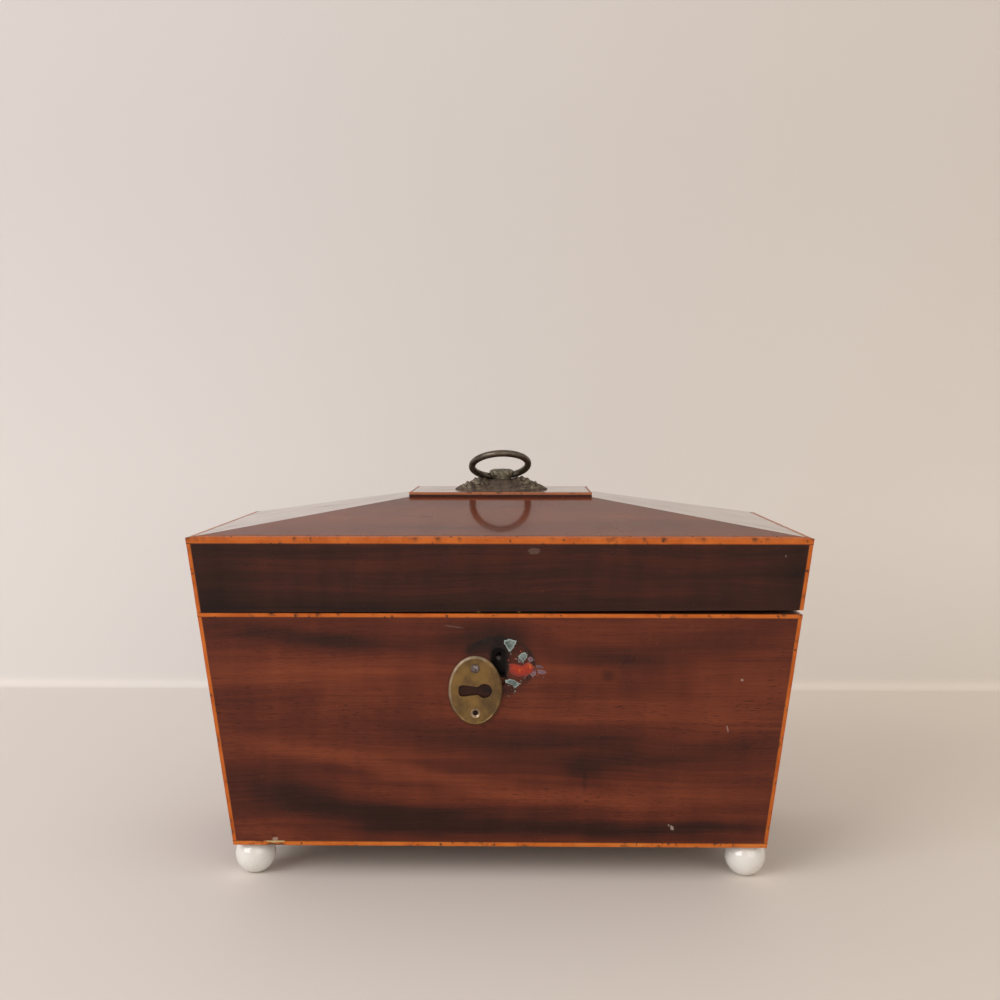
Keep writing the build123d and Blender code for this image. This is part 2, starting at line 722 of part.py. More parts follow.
for side, name in ((-1, "left"), (1, "right")):
    with BuildPart() as side_board:
        add(tapered(floor_height, seam_height, side_wall(side)))
        add(body_rim_strings.part, mode=Mode.SUBTRACT)
        add(tea_lid_pins.part, mode=Mode.SUBTRACT)
    write(side_board, f"{name}_board")

    with BuildPart() as partition:
        add(tapered(floor_height, tea_lid_top,
                    lambda z: (*sorted((side * partition_inner, side * partition_outer)),
                               -inner_half_depth(z), inner_half_depth(z))))
        add(tea_lid_pins.part, mode=Mode.SUBTRACT)
    write(partition, f"{name}_partition")

    def cell(inset):
        """Edges of the tea compartment on this side, drawn in by an inset."""
        def edges(z):
            near = side * (partition_outer + inset)
            away = side * (inner_half_length(z) - inset)
            return (min(near, away), max(near, away),
                    -inner_half_depth(z) + inset, inner_half_depth(z) - inset)
        return edges

    liner_top = tea_lid_low - tea_lid_seat_gap
    with BuildPart() as tea_liner:
        add(tapered(floor_height, liner_top, cell(liner_clearance)))
        add(tapered(floor_height + liner_floor, liner_top, cell(liner_clearance + liner_wall)),
            mode=Mode.SUBTRACT)
    write(tea_liner, f"{name}_tea_liner")

    tea_lid_x = side * (tea_lid_inner_x + tea_lid_outer_x) / 2
    with BuildPart() as tea_knob:
        with BuildSketch(Plane.XZ):
            with BuildLine():
                neck = tea_knob_neck_diameter / 2
                shank = tea_knob_shank_diameter / 2
                belly = tea_knob_diameter / 2
                waist = tea_lid_top + tea_knob_neck_height
                crown = tea_lid_top + tea_knob_height
                Polyline((0, crown), (0, tea_lid_low), (shank, tea_lid_low), (shank, tea_lid_top),
                         (tea_knob_base_diameter / 2, tea_lid_top), (neck, waist))
                Spline((neck, waist), (belly, (waist + crown) / 2), (0, crown),
                       tangents=((1, 0.3), (-1, 0)))
            make_face()
        revolve(axis=Axis.Z)
    tea_knob.part = placed(tea_knob.part, tea_lid_x, 0, 0)
    write(tea_knob, f"{name}_tea_knob")

    def lid_board(z):
        """Edges of the tea lid, up to the pins' axis."""
        near = side * tea_lid_inner_x
        away = side * (inner_half_length(z) - tea_lid_clearance)
        return min(near, away), max(near, away), -inner_half_depth(z) + tea_lid_clearance, tea_axis_y

    with BuildPart() as tea_lid:
        add(tapered(tea_lid_low, tea_lid_top, lid_board))
        add(cylinder_along_x(sorted((side * tea_lid_inner_x, side * tea_lid_outer_x)),
                             tea_axis_y, tea_axis_z, tea_lid_thickness / 2))
        bore_length = tea_pin_in_lid + tea_lid_clearance
        for near, away in ((tea_lid_inner_x - overrun, tea_lid_inner_x + bore_length),
                           (tea_lid_outer_x - bore_length, tea_lid_outer_x + overrun)):
            add(cylinder_along_x(sorted((side * near, side * away)), tea_axis_y, tea_axis_z,
                                 tea_pin_diameter / 2 + tea_pin_clearance), mode=Mode.SUBTRACT)
        add(tea_knob.part, mode=Mode.SUBTRACT)
    write(tea_lid, f"{name}_tea_lid")

# Well for the glass bowl

well_top = floor_height + well_floor_thickness
platform_low = platform_top - platform_thickness


def well(inset):
    """Edges of the middle compartment, drawn in by an inset."""
    return lambda z: (-partition_inner + inset, partition_inner - inset,
                      -inner_half_depth(z) + inset, inner_half_depth(z) - inset)


with BuildPart() as well_floor:
    add(tapered(floor_height, well_top, well(liner_clearance)))
write(well_floor, "well_floor")

with BuildPart() as bowl_platform:
    add(tapered(platform_low, platform_top, well(platform_clearance)))
    with Locations((0, 0, platform_top)):
        Hole(bowl_diameter / 2 + bowl_clearance)
write(bowl_platform, "bowl_platform")

with BuildPart() as platform_ledges:
    ledge_half_depth = inner_half_depth(platform_low - ledge_size) - platform_clearance
    for side in (-1, 1):
        add(box_between(sorted((side * partition_inner, side * (partition_inner - ledge_size))),
                        (-ledge_half_depth, ledge_half_depth), (platform_low - ledge_size, platform_low)))
write(platform_ledges, "platform_ledges")

with BuildPart() as glass_bowl:
    bowl_low = well_top + bowl_seat_gap
    bowl_height = bowl_top - bowl_low
    with BuildSketch(Plane.XZ):
        with BuildLine():
            rim = bowl_diameter / 2
            foot_rim = bowl_foot_diameter / 2
            shoulder = rim * bowl_shoulder_share
            shoulder_z = bowl_low + bowl_height * bowl_shoulder_rise
            cove = (rim * bowl_cove_share, bowl_low + bowl_height * bowl_cove_rise)
            foot_z = bowl_low + bowl_foot_height
            inside_flat = (bowl_inside_flat / 2, bowl_low + bowl_bottom)
            Polyline((0, bowl_low), (foot_rim, bowl_low), (foot_rim, foot_z))
            ThreePointArc((foot_rim, foot_z), cove, (shoulder, shoulder_z))
            Polyline((shoulder, shoulder_z), (rim, bowl_top), (rim - bowl_wall, bowl_top),
                     (shoulder - bowl_wall, shoulder_z))
            ThreePointArc((shoulder - bowl_wall, shoulder_z), (cove[0] - bowl_wall, cove[1] + bowl_wall / 2),
                          inside_flat)
            Polyline(inside_flat, (0, bowl_low + bowl_bottom), (0, bowl_low))
        make_face()
    revolve(axis=Axis.Z)
write(glass_bowl, "glass_bowl")

# Lid: a hipped top board with a raised panel, on four side boards

corner_gaps = {"front_left": gap_front_left, "front_right": gap_front_right,
               "back_left": gap_back, "back_right": gap_back}

with BuildPart() as lid_corner_strings:
    for corner, (side_x, side_y) in corner_signs.items():
        add(tapered(seam_height + corner_gaps[corner], rim_height - lid_rim_string_height,
                    corner_edges(side_x, side_y)))
    add(lid_bevel, mode=Mode.SUBTRACT)
write(lid_corner_strings, "lid_corner_strings")


def slope_edges(z):
    """Edges of the hipped top at height z, from the rim to the raised panel."""
    share = (z - rim_height) / (slope_top - rim_height)
    across = (rim_length + (plateau_length - rim_length) * share) / 2
    along = (rim_depth + (plateau_depth - rim_depth) * share) / 2
    return -across, across, -along, along


def rim_frame(x_edge, y_edge, width, z):
    """Four boxes that cover a frame of the given width inside two edges, not touching."""
    inner_y = y_edge - width - string_joint
    return (box_between((-far, far), (-far, -y_edge + width), z),
            box_between((-far, far), (y_edge - width, far), z),
            box_between((-far, -x_edge + width), (-inner_y, inner_y), z),
            box_between((x_edge - width, far), (-inner_y, inner_y), z))


with BuildPart() as lid_top_shape:
    add(tapered(lid_side_top, rim_height, whole_outline))
    add(tapered(rim_height, slope_top, slope_edges))

with BuildPart() as lid_rim_strings:
    add(lid_top_shape.part)
    add(rim_frame(rim_length / 2, rim_depth / 2, lid_rim_string_width,
                  (rim_height - lid_rim_string_height, plateau_height)), mode=Mode.INTERSECT)
write(lid_rim_strings, "lid_rim_strings")

plateau_box = box_between((-plateau_length / 2, plateau_length / 2),
                          (-plateau_depth / 2, plateau_depth / 2), (slope_top, plateau_height))

with BuildPart() as plateau_strings:
    add(plateau_box)
    add(rim_frame(plateau_length / 2, plateau_depth / 2, plateau_string,
                  (plateau_height - plateau_string, plateau_height + overrun)), mode=Mode.INTERSECT)
write(plateau_strings, "plateau_strings")

# Handle: the post goes down through the lid to a nut in a recess above the lining

with BuildPart() as post_hole:
    with Locations((0, 0, lid_side_top)):
        Cylinder(post_shank_diameter / 2 + post_hole_clearance, far,
                 align=(Align.CENTER, Align.CENTER, Align.CENTER))

with BuildPart() as nut_recess:
    with Locations((0, 0, lid_side_top)):
        Cylinder(washer_diameter / 2 + washer_clearance, nut_recess_depth,
                 align=(Align.CENTER, Align.CENTER, Align.MIN))

with BuildPart() as plateau_panel:
    add(plateau_box)
    add(plateau_strings.part, mode=Mode.SUBTRACT)
    add(post_hole.part, mode=Mode.SUBTRACT)
write(plateau_panel, "plateau_panel")

with BuildPart() as lid_top_board:
    add(lid_top_shape.part)
    add(lid_rim_strings.part, mode=Mode.SUBTRACT)
    add(lid_corner_strings.part, mode=Mode.SUBTRACT)
    add(post_hole.part, mode=Mode.SUBTRACT)
    add(nut_recess.part, mode=Mode.SUBTRACT)
write(lid_top_board, "lid_top_board")

nut_top = lid_side_top + nut_recess_depth - washer_thickness - string_joint
with BuildPart() as handle_nut:
    with Locations((0, 0, lid_side_top + nut_recess_depth - washer_thickness)):
        Cylinder(washer_diameter / 2, washer_thickness, align=(Align.CENTER, Align.CENTER, Align.MIN))
    with BuildSketch(Plane.XY.offset(nut_top - nut_thickness)):
        RegularPolygon(nut_diameter / 2, 6, major_radius=False)
    extrude(amount=nut_thickness)
    add(post_hole.part, mode=Mode.SUBTRACT)
write(handle_nut, "handle_nut")

ring_radius = ring_diameter / 2
ring_pivot = Plane(origin=(0, 0, ring_pivot_height),
                   x_dir=(cos(radians(ring_roll_angle)), 0, sin(radians(ring_roll_angle))),
                   z_dir=(-sin(radians(ring_roll_angle)), 0, cos(radians(ring_roll_angle))))


def ring_plane(lean):
    """The plane of the ring when its free end rises by lean degrees towards the front."""
    forward = ring_pivot.y_dir * -cos(radians(lean)) + ring_pivot.z_dir * sin(radians(lean))
    normal = ring_pivot.y_dir * -sin(radians(lean)) - ring_pivot.z_dir * cos(radians(lean))
    return Plane(origin=ring_pivot.origin + forward * ring_radius, x_dir=ring_pivot.x_dir, z_dir=normal)


with BuildPart(ring_plane(ring_lean_angle)) as handle_ring:
    Torus(ring_radius, ring_wire / 2)
write(handle_ring, "handle_ring")

bore_plane = Plane(origin=ring_pivot.origin, x_dir=ring_pivot.x_dir, z_dir=-ring_pivot.y_dir)
bore_half = knob_length / 2 + overrun
bore_curve = ring_radius - ring_wire / 2 - ring_clearance
bore_mouth = ring_radius - sqrt(bore_curve ** 2 - bore_half ** 2)

with BuildPart() as knob_bore:
    with BuildSketch(bore_plane):
        with BuildLine():
            ThreePointArc((-bore_half, bore_mouth), (0, ring_radius - bore_curve), (bore_half, bore_mouth))
            Polyline((bore_half, bore_mouth), (bore_half, 0), (-bore_half, 0), (-bore_half, bore_mouth))
        make_face()
    revolve(axis=Axis(bore_plane.origin, bore_plane.x_dir))

with BuildPart() as handle_post:
    with BuildSketch(Plane.XY.offset(post_collar_top)):
        RectangleRounded(knob_length, knob_width, knob_corner)
    extrude(amount=knob_top - post_collar_top)
    fillet(handle_post.faces().sort_by(Axis.Z)[-1].edges(), knob_crown)
    add(knob_bore.part, mode=Mode.SUBTRACT)
    with Locations((0, 0, plateau_height)):
        Cylinder(post_collar_diameter / 2, post_collar_top - plateau_height,
                 align=(Align.CENTER, Align.CENTER, Align.MIN))
    shank_bottom = nut_top - nut_thickness - post_below_nut
    with Locations((0, 0, shank_bottom)):
        Cylinder(post_shank_diameter / 2, plateau_height - shank_bottom,
                 align=(Align.CENTER, Align.CENTER, Align.MIN))
write(handle_post, "handle_post")


def leaf(reach, half_width, angle):
    """A pointed leaf from the middle of the mount to its reach, turned to an angle."""
    with BuildSketch() as outline:
        with BuildLine():
            ThreePointArc((0, 0), (reach / 2, half_width), (reach, 0))
            ThreePointArc((reach, 0), (reach / 2, -half_width), (0, 0))
        make_face()
    return outline.sketch.rotate(Axis.Z, angle)


with BuildPart() as handle_rosette:
    with BuildSketch(Plane.XY.offset(plateau_height)):
        Circle(post_collar_diameter)
        for angle in (0, 180):
            add(leaf(rosette_side_reach, rosette_side_reach / 3, angle))
        for angle in (90, 270):
            add(leaf(rosette_front_reach, rosette_front_reach / 2, angle))
        for angle in (rosette_corner_angle, -rosette_corner_angle):
            add(leaf(rosette_corner_reach, rosette_corner_reach / 3, angle))
            add(leaf(rosette_corner_reach, rosette_corner_reach / 3, 180 + angle))
    extrude(amount=rosette_top - plateau_height)
    with BuildSketch(Plane.XZ):
        with BuildLine():
            tip = (rosette_side_reach + overrun, plateau_height + rosette_edge)
            hollow = (rosette_side_reach * 2 / 3, (rosette_top + plateau_height) / 2)
            Polyline((rosette_flat_radius, rosette_top), (0, rosette_top), (0, plateau_height),
                     (tip[0], plateau_height), tip)
            Spline((rosette_flat_radius, rosette_top), hollow, tip, tangents=((1, 0), (1, -0.1)))
        make_face()
    revolve(axis=Axis.Z, mode=Mode.INTERSECT)
    with Locations((0, 0, rosette_top)):
        Hole(post_collar_diameter / 2 + post_hole_clearance)
write(handle_rosette, "handle_rosette")

# Lid side boards, their lower edges cut to the seam's gap

span_x = 2 * half_length(seam_height)
span_y = 2 * half_depth(seam_height)
front_seam = Plane(origin=(0, 0, seam_height + (gap_front_left + gap_front_right) / 2),
                   z_dir=(gap_front_left - gap_front_right, 0, span_x))
side_seams = {"left": Plane(origin=(0, 0, seam_height + (gap_front_left + gap_back) / 2),
                            z_dir=(0, gap_front_left - gap_back, span_y)),
              "right": Plane(origin=(0, 0, seam_height + (gap_front_right + gap_back) / 2),
                             z_dir=(0, gap_front_right - gap_back, span_y))}

hasp_low = front_seam.origin.Z
hasp_y = (selvedge_y - selvedge_width / 2, selvedge_y + selvedge_width / 2)
hasp_x = (-hasp_length / 2, hasp_length / 2)
hasp_box = box_between(hasp_x, hasp_y, (hasp_low, hasp_low + hasp_thickness))
hasp_recess = box_between(hasp_x, hasp_y, (seam_height, hasp_low + hasp_thickness))
hasp_screw_x = hasp_length / 2 - screw_head_diameter / 2 - screw_edge_distance


def height_in_lock(y, z):
    """Height above the floor of a point in the lock's frame."""
    return lock_plane.from_local_coords((0, y, z)).Z


finger_low_height = height_in_lock(-finger_drop, finger_z[1])
finger_high_height = height_in_lock(finger_top, finger_z[0])

with BuildPart() as hasp_screws:
    for x in (-hasp_screw_x, hasp_screw_x):
        add(placed(upside_down(screw), x, selvedge_y, hasp_low))
write(hasp_screws, "hasp_screws")

with BuildPart() as hasp_plate:
    add(hasp_box)
    for x in staple_x:
        x_limits = (x - staple_thickness / 2, x + staple_thickness / 2)
        add(box_between(x_limits, (finger_y - staple_width / 2, finger_y + staple_width / 2),
                        (finger_low_height - bolt_slack - staple_floor, hasp_low)))
        add(box_between(x_limits, (finger_y - staple_width / 2 + staple_leg,
                                   finger_y + staple_width / 2 - staple_leg),
                        (finger_low_height - bolt_slack, finger_high_height + bolt_slack)),
            mode=Mode.SUBTRACT)
    add(hasp_screws.part, mode=Mode.SUBTRACT)
write(hasp_plate, "hasp_plate")

with BuildPart() as lid_front_board:
    add(tapered(seam_height, lid_side_top, end_wall(-1)))
    split(bisect_by=front_seam, keep=Keep.TOP)
    add(lid_corner_strings.part, mode=Mode.SUBTRACT)
    add(hasp_recess, mode=Mode.SUBTRACT)
    add(hasp_screws.part, mode=Mode.SUBTRACT)
write(lid_front_board, "lid_front_board")

with BuildPart() as lid_back_board:
    add(tapered(seam_height + gap_back, lid_side_top, end_wall(1)))
    add(lid_corner_strings.part, mode=Mode.SUBTRACT)
    add(lid_bevel, mode=Mode.SUBTRACT)
    for x in hinge_sides.values():
        add(leaf_plate(x, lid_leaf_low, hinge_y), mode=Mode.SUBTRACT)
        add(knuckle_room(x), mode=Mode.SUBTRACT)
    add(lid_hinge_screws.part, mode=Mode.SUBTRACT)
write(lid_back_board, "lid_back_board")

for side, name in ((-1, "left"), (1, "right")):
    with BuildPart() as lid_side_board:
        add(tapered(seam_height, lid_side_top, side_wall(side)))
        split(bisect_by=side_seams[name], keep=Keep.TOP)
    write(lid_side_board, f"lid_{name}_board")

with BuildPart() as lid_lining:
    lining_low = lid_side_top - lining_thickness
    lining_x = inner_half_length(lining_low) - lining_clearance
    lining_y = inner_half_depth(lining_low) - lining_clearance
    add(box_between((-lining_x, lining_x), (-lining_y, lining_y), (lining_low, lid_side_top)))
write(lid_lining, "lid_lining")
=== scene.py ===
import json
import logging
import math
import random
from collections.abc import Callable, Iterable, Sequence
from dataclasses import dataclass, field
from enum import Enum
from functools import reduce

import bmesh
import bpy
from mathutils import Matrix, Vector, noise


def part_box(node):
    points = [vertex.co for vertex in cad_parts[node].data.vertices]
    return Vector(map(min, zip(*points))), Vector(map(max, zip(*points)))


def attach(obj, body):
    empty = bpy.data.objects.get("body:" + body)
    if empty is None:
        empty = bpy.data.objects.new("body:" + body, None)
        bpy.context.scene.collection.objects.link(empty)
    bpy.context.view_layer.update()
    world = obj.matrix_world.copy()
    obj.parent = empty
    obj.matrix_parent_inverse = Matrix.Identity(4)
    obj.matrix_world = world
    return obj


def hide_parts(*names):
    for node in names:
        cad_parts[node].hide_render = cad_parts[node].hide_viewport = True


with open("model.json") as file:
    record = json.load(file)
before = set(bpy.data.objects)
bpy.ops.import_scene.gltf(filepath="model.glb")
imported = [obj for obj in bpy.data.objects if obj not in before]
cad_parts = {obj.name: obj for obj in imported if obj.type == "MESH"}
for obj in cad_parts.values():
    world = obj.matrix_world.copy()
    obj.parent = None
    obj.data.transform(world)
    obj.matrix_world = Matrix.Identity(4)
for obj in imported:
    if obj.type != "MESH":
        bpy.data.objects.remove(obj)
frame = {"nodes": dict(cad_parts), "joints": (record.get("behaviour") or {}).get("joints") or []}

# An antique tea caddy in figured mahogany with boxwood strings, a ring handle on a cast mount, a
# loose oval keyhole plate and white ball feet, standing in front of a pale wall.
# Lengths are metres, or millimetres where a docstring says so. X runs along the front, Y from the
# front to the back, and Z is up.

LOG = logging.getLogger("tea_caddy")
MM = 0.001
SIDES = (-1, 1)             # left and right, or front and back
ON_FRONT = (-0.5, -0.8)     # the normal's Y between which the front's marks come in
FACES_UP = 0.6              # the normal's Z above which a face counts as a top
NO_DEPTH = (1.0, 0.0, 1.0)  # takes Y out of a place

Colour = tuple[float, float, float]
Spot = tuple[float, float]
Spots = tuple[Spot, ...]
Triple = tuple[float, float, float]
Socket = bpy.types.NodeSocket
Number = Socket | float
Scale = float | Triple
Stops = Sequence[tuple[float, Colour]]


class Part(Enum):
    """The bodies that pieces move with."""

    BODY = "body"
    LID = "lid"
    RING = "ring"
    ESCUTCHEON = "escutcheon"
    BOWL = "bowl"


class Slot(Enum):
    """The record's material slots, which settle takes but does not use."""

    BOXWOOD = "boxwood"
    BRONZE = "bronze"
    BRASS = "brass"
    GLASS = "glass"


# ---- node graphs


class Graph:
    """Builds the node tree of one material."""

    def __init__(self, name: str) -> None:
        """Start a material.

        Args:
            name: The material's name.
        """
        self.material = bpy.data.materials.new(name)
        self.material.use_nodes = True
        self.tree = self.material.node_tree
        self.shader = self.tree.nodes["Principled BSDF"]

    def node(self, kind: str, fed: dict[int | str, object] | Sequence[object] = (),
             **settings: object) -> bpy.types.Node:
        """Add a node.

        Args:
            kind: The node's type name.
            fed: What feeds its inputs, in their order, or by their numbers or names.
            **settings: Attributes to set on it.

        Returns:
            The new node.
        """
        made = self.tree.nodes.new(kind)
        for key, value in settings.items():
            setattr(made, key, value)
        for key, value in (fed.items() if isinstance(fed, dict) else enumerate(fed)):
            self.feed(made.inputs[key], value)
        return made

    def feed(self, socket: Socket, value: object) -> None:
        """Link a socket, or set its own value.

        Args:
            socket: The input.
            value: An output socket, a number or a tuple.
        """
        if isinstance(value, bpy.types.NodeSocket):
            self.tree.links.new(value, socket)
        elif socket.type == "RGBA" and len(value) == 3:
            socket.default_value = (*value, 1.0)
        else:
            socket.default_value = value

    def set(self, **inputs: object) -> None:
        """Feed inputs of the surface shader, named with underscores for spaces."""
        for key, value in inputs.items():
            self.feed(self.shader.inputs[key.replace("_", " ")], value)

    def place(self) -> Socket:
        """Position on the piece at rest, in metres."""
        return self.node("ShaderNodeTexCoord").outputs["Object"]

    def facing(self) -> Socket:
        """The piece's own normal."""
        return self.node("ShaderNodeTexCoord").outputs["Normal"]

    def stored(self, name: str) -> bpy.types.Node:
        """The node that reads a named attribute of the mesh."""
        return self.node("ShaderNodeAttribute", attribute_name=name)

    def split(self, vector: Socket) -> Sequence[Socket]:
        """The X, Y and Z of a vector."""
        return self.node("ShaderNodeSeparateXYZ", (vector,)).outputs[:]

    def join(self, x: Number, y: Number, z: Number) -> Socket:
        """A vector from its three parts."""
        return self.node("ShaderNodeCombineXYZ", (x, y, z)).outputs[0]

    def math(self, operation: str, a: Number, b: Number = 0.0, c: Number = 0.0) -> Socket:
        """One step of arithmetic on up to three numbers."""
        return self.node("ShaderNodeMath", (a, b, c), operation=operation).outputs[0]

    def total(self, *numbers: Number) -> Socket:
        """The sum of several numbers."""
        return reduce(lambda result, number: self.math("ADD", result, number), numbers)

    def times(self, a: Number, b: Number) -> Socket:
        """The product of two numbers."""
        return self.math("MULTIPLY", a, b)

    def less(self, a: Number, b: Number) -> Socket:
        """The first number less the second."""
        return self.math("SUBTRACT", a, b)

    def size(self, number: Number) -> Socket:
        """A number without its sign."""
        return self.math("ABSOLUTE", number)

    def between(self, value: Number, low: float, high: float, start: float = 0.0,
                end: float = 1.0) -> Socket:
        """A smooth step from start to end, as a value goes from low to high."""
        values = (value, low, high, start, end)
        return self.node("ShaderNodeMapRange", values, interpolation_type="SMOOTHSTEP").outputs[0]

    def stretch(self, vector: Socket, scale: Triple) -> Socket:
        """A vector times a scale on each axis."""
        return self.node("ShaderNodeVectorMath", (vector, scale), operation="MULTIPLY").outputs[0]

    def noise(self, vector: Socket, scale: Scale = 1.0, detail: float = 2.0,
              roughness: float = 0.5, distortion: float = 0.0) -> Socket:
        """Soft noise around a half.

        Args:
            vector: Where to read it.
            scale: Its waves a metre, the same or one for each axis.
            detail: How many finer layers it has.
            roughness: How strong those layers are.
            distortion: How much it swirls.

        Returns:
            The noise.
        """
        if isinstance(scale, tuple):
            vector, scale = self.stretch(vector, scale), 1.0
        fed = {"Vector": vector, "Scale": scale, "Detail": detail, "Roughness": roughness,
               "Distortion": distortion}
        return self.node("ShaderNodeTexNoise", fed).outputs["Fac"]

    def sway(self, vector: Socket, scale: Scale, detail: float = 2.0,
             roughness: float = 0.5) -> Socket:
        """Soft noise around zero, from the same values as noise."""
        return self.less(self.noise(vector, scale, detail, roughness), 0.5)

    def cells(self, vector: Socket, scale: float, feature: str = "F1") -> Socket:
        """Distance in a pattern with scale cells a metre."""
        fed = {"Vector": vector, "Scale": scale}
        return self.node("ShaderNodeTexVoronoi", fed, feature=feature).outputs["Distance"]

    def ramp(self, factor: Number, stops: Stops) -> Socket:
        """A colour that runs through stops.

        Args:
            factor: Where on the ramp, 0 to 1.
            stops: Places and colours.

        Returns:
            The colour.
        """
        made = self.node("ShaderNodeValToRGB", (factor,))
        elements = made.color_ramp.elements
        while len(elements) < len(stops):
            elements.new(0.5)
        for element, (place, colour) in zip(elements, stops):
            element.position = place
            element.color = (*colour, 1.0)
        return made.outputs[0]

    def mix(self, factor: Number, a: object, b: object, blend: str = "MIX") -> Socket:
        """Two colours mixed, with a share of the second one."""
        fed = {0: factor, 6: a, 7: b}
        return self.node("ShaderNodeMix", fed, data_type="RGBA", blend_type=blend).outputs[2]

    def bump(self, height: Socket, distance: float, below: Socket | None = None) -> Socket:
        """A bumped normal.

        Args:
            height: Height from 0 to 1.
            distance: The height of 1, in metres.
            below: A normal to start from.

        Returns:
            The normal.
        """
        fed = {"Height": height, "Distance": distance}
        if below is not None:
            fed["Normal"] = below
        return self.node("ShaderNodeBump", fed).outputs[0]

    def spot(self, place: Socket, patch: "Patch") -> Socket:
        """Distance from a patch's middle, where 1 is its edge.

        Args:
            place: Position on the piece, with Y taken out.
            patch: The patch on the front.

        Returns:
            The distance.
        """
        made = self.node("ShaderNodeMapping", {"Vector": place}, vector_type="TEXTURE")
        made.inputs["Location"].default_value = (patch.x * MM, 0.0, patch.z * MM)
        made.inputs["Rotation"].default_value = (0.0, -math.radians(patch.turn), 0.0)
        made.inputs["Scale"].default_value = (patch.half_length * MM, 1.0, patch.half_height * MM)
        length = self.node("ShaderNodeVectorMath", (made.outputs[0],), operation="LENGTH")
        return length.outputs["Value"]

    def ragged(self, place: Socket, patch: "Patch", grain: float, stray: float, outer: float,
               inner: float) -> Socket:
        """A patch on the front with a ragged edge.

        Args:
            place: Position on the piece.
            patch: The patch.
            grain: Waves a metre along its edge.
            stray: How far the edge strays.
            outer: Where it starts to show, with 1 at the patch's edge.
            inner: Where it shows in full.

        Returns:
            0 outside it, and up to its strength inside.
        """
        away = self.spot(self.stretch(place, NO_DEPTH), patch)
        frayed = self.total(away, self.times(self.noise(place, grain), stray))
        return self.between(frayed, outer, inner, 0.0, patch.strength)


@dataclass(frozen=True)
class Patch:
    """An oval patch on the front, in millimetres and degrees, and how strongly it shows."""

    x: float
    z: float
    half_length: float
    half_height: float
    turn: float = 0.0
    strength: float = 1.0


def patches(*rows: tuple[float, ...]) -> tuple[Patch, ...]:
    """Patches from rows of their values."""
    return tuple(Patch(*row) for row in rows)


# ---- finishes


@dataclass(frozen=True)
class Outside:
    """The tapered outside of the caddy."""

    rim_half_length: float
    rim_half_depth: float
    rim_height: float
    flare: float

    @classmethod
    def from_frame(cls) -> "Outside":
        """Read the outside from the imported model.

        Returns:
            The outside.
        """
        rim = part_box("lid_rim_strings")[1]
        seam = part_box("front_board")[1]
        rim_height = widest_height("lid_rim_strings")
        return cls(rim.x, rim.y, rim_height, (rim.x - seam.x) / (rim_height - seam.z))

    def half_length(self, z: float) -> float:
        """Half the length at a height."""
        return self.rim_half_length - (self.rim_height - z) * self.flare

    def half_depth(self, z: float) -> float:
        """Half the depth at a height."""
        return self.rim_half_depth - (self.rim_height - z) * self.flare


def widest_height(node: str) -> float:
    """Height at which a CAD node reaches furthest along X."""
    return max(frame["nodes"][node].data.vertices, key=lambda vertex: vertex.co.x).co.z


def joint(name: str) -> dict[str, object]:
    """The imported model's joint of that name."""
    return next(found for found in frame["joints"] if found["name"] == name)


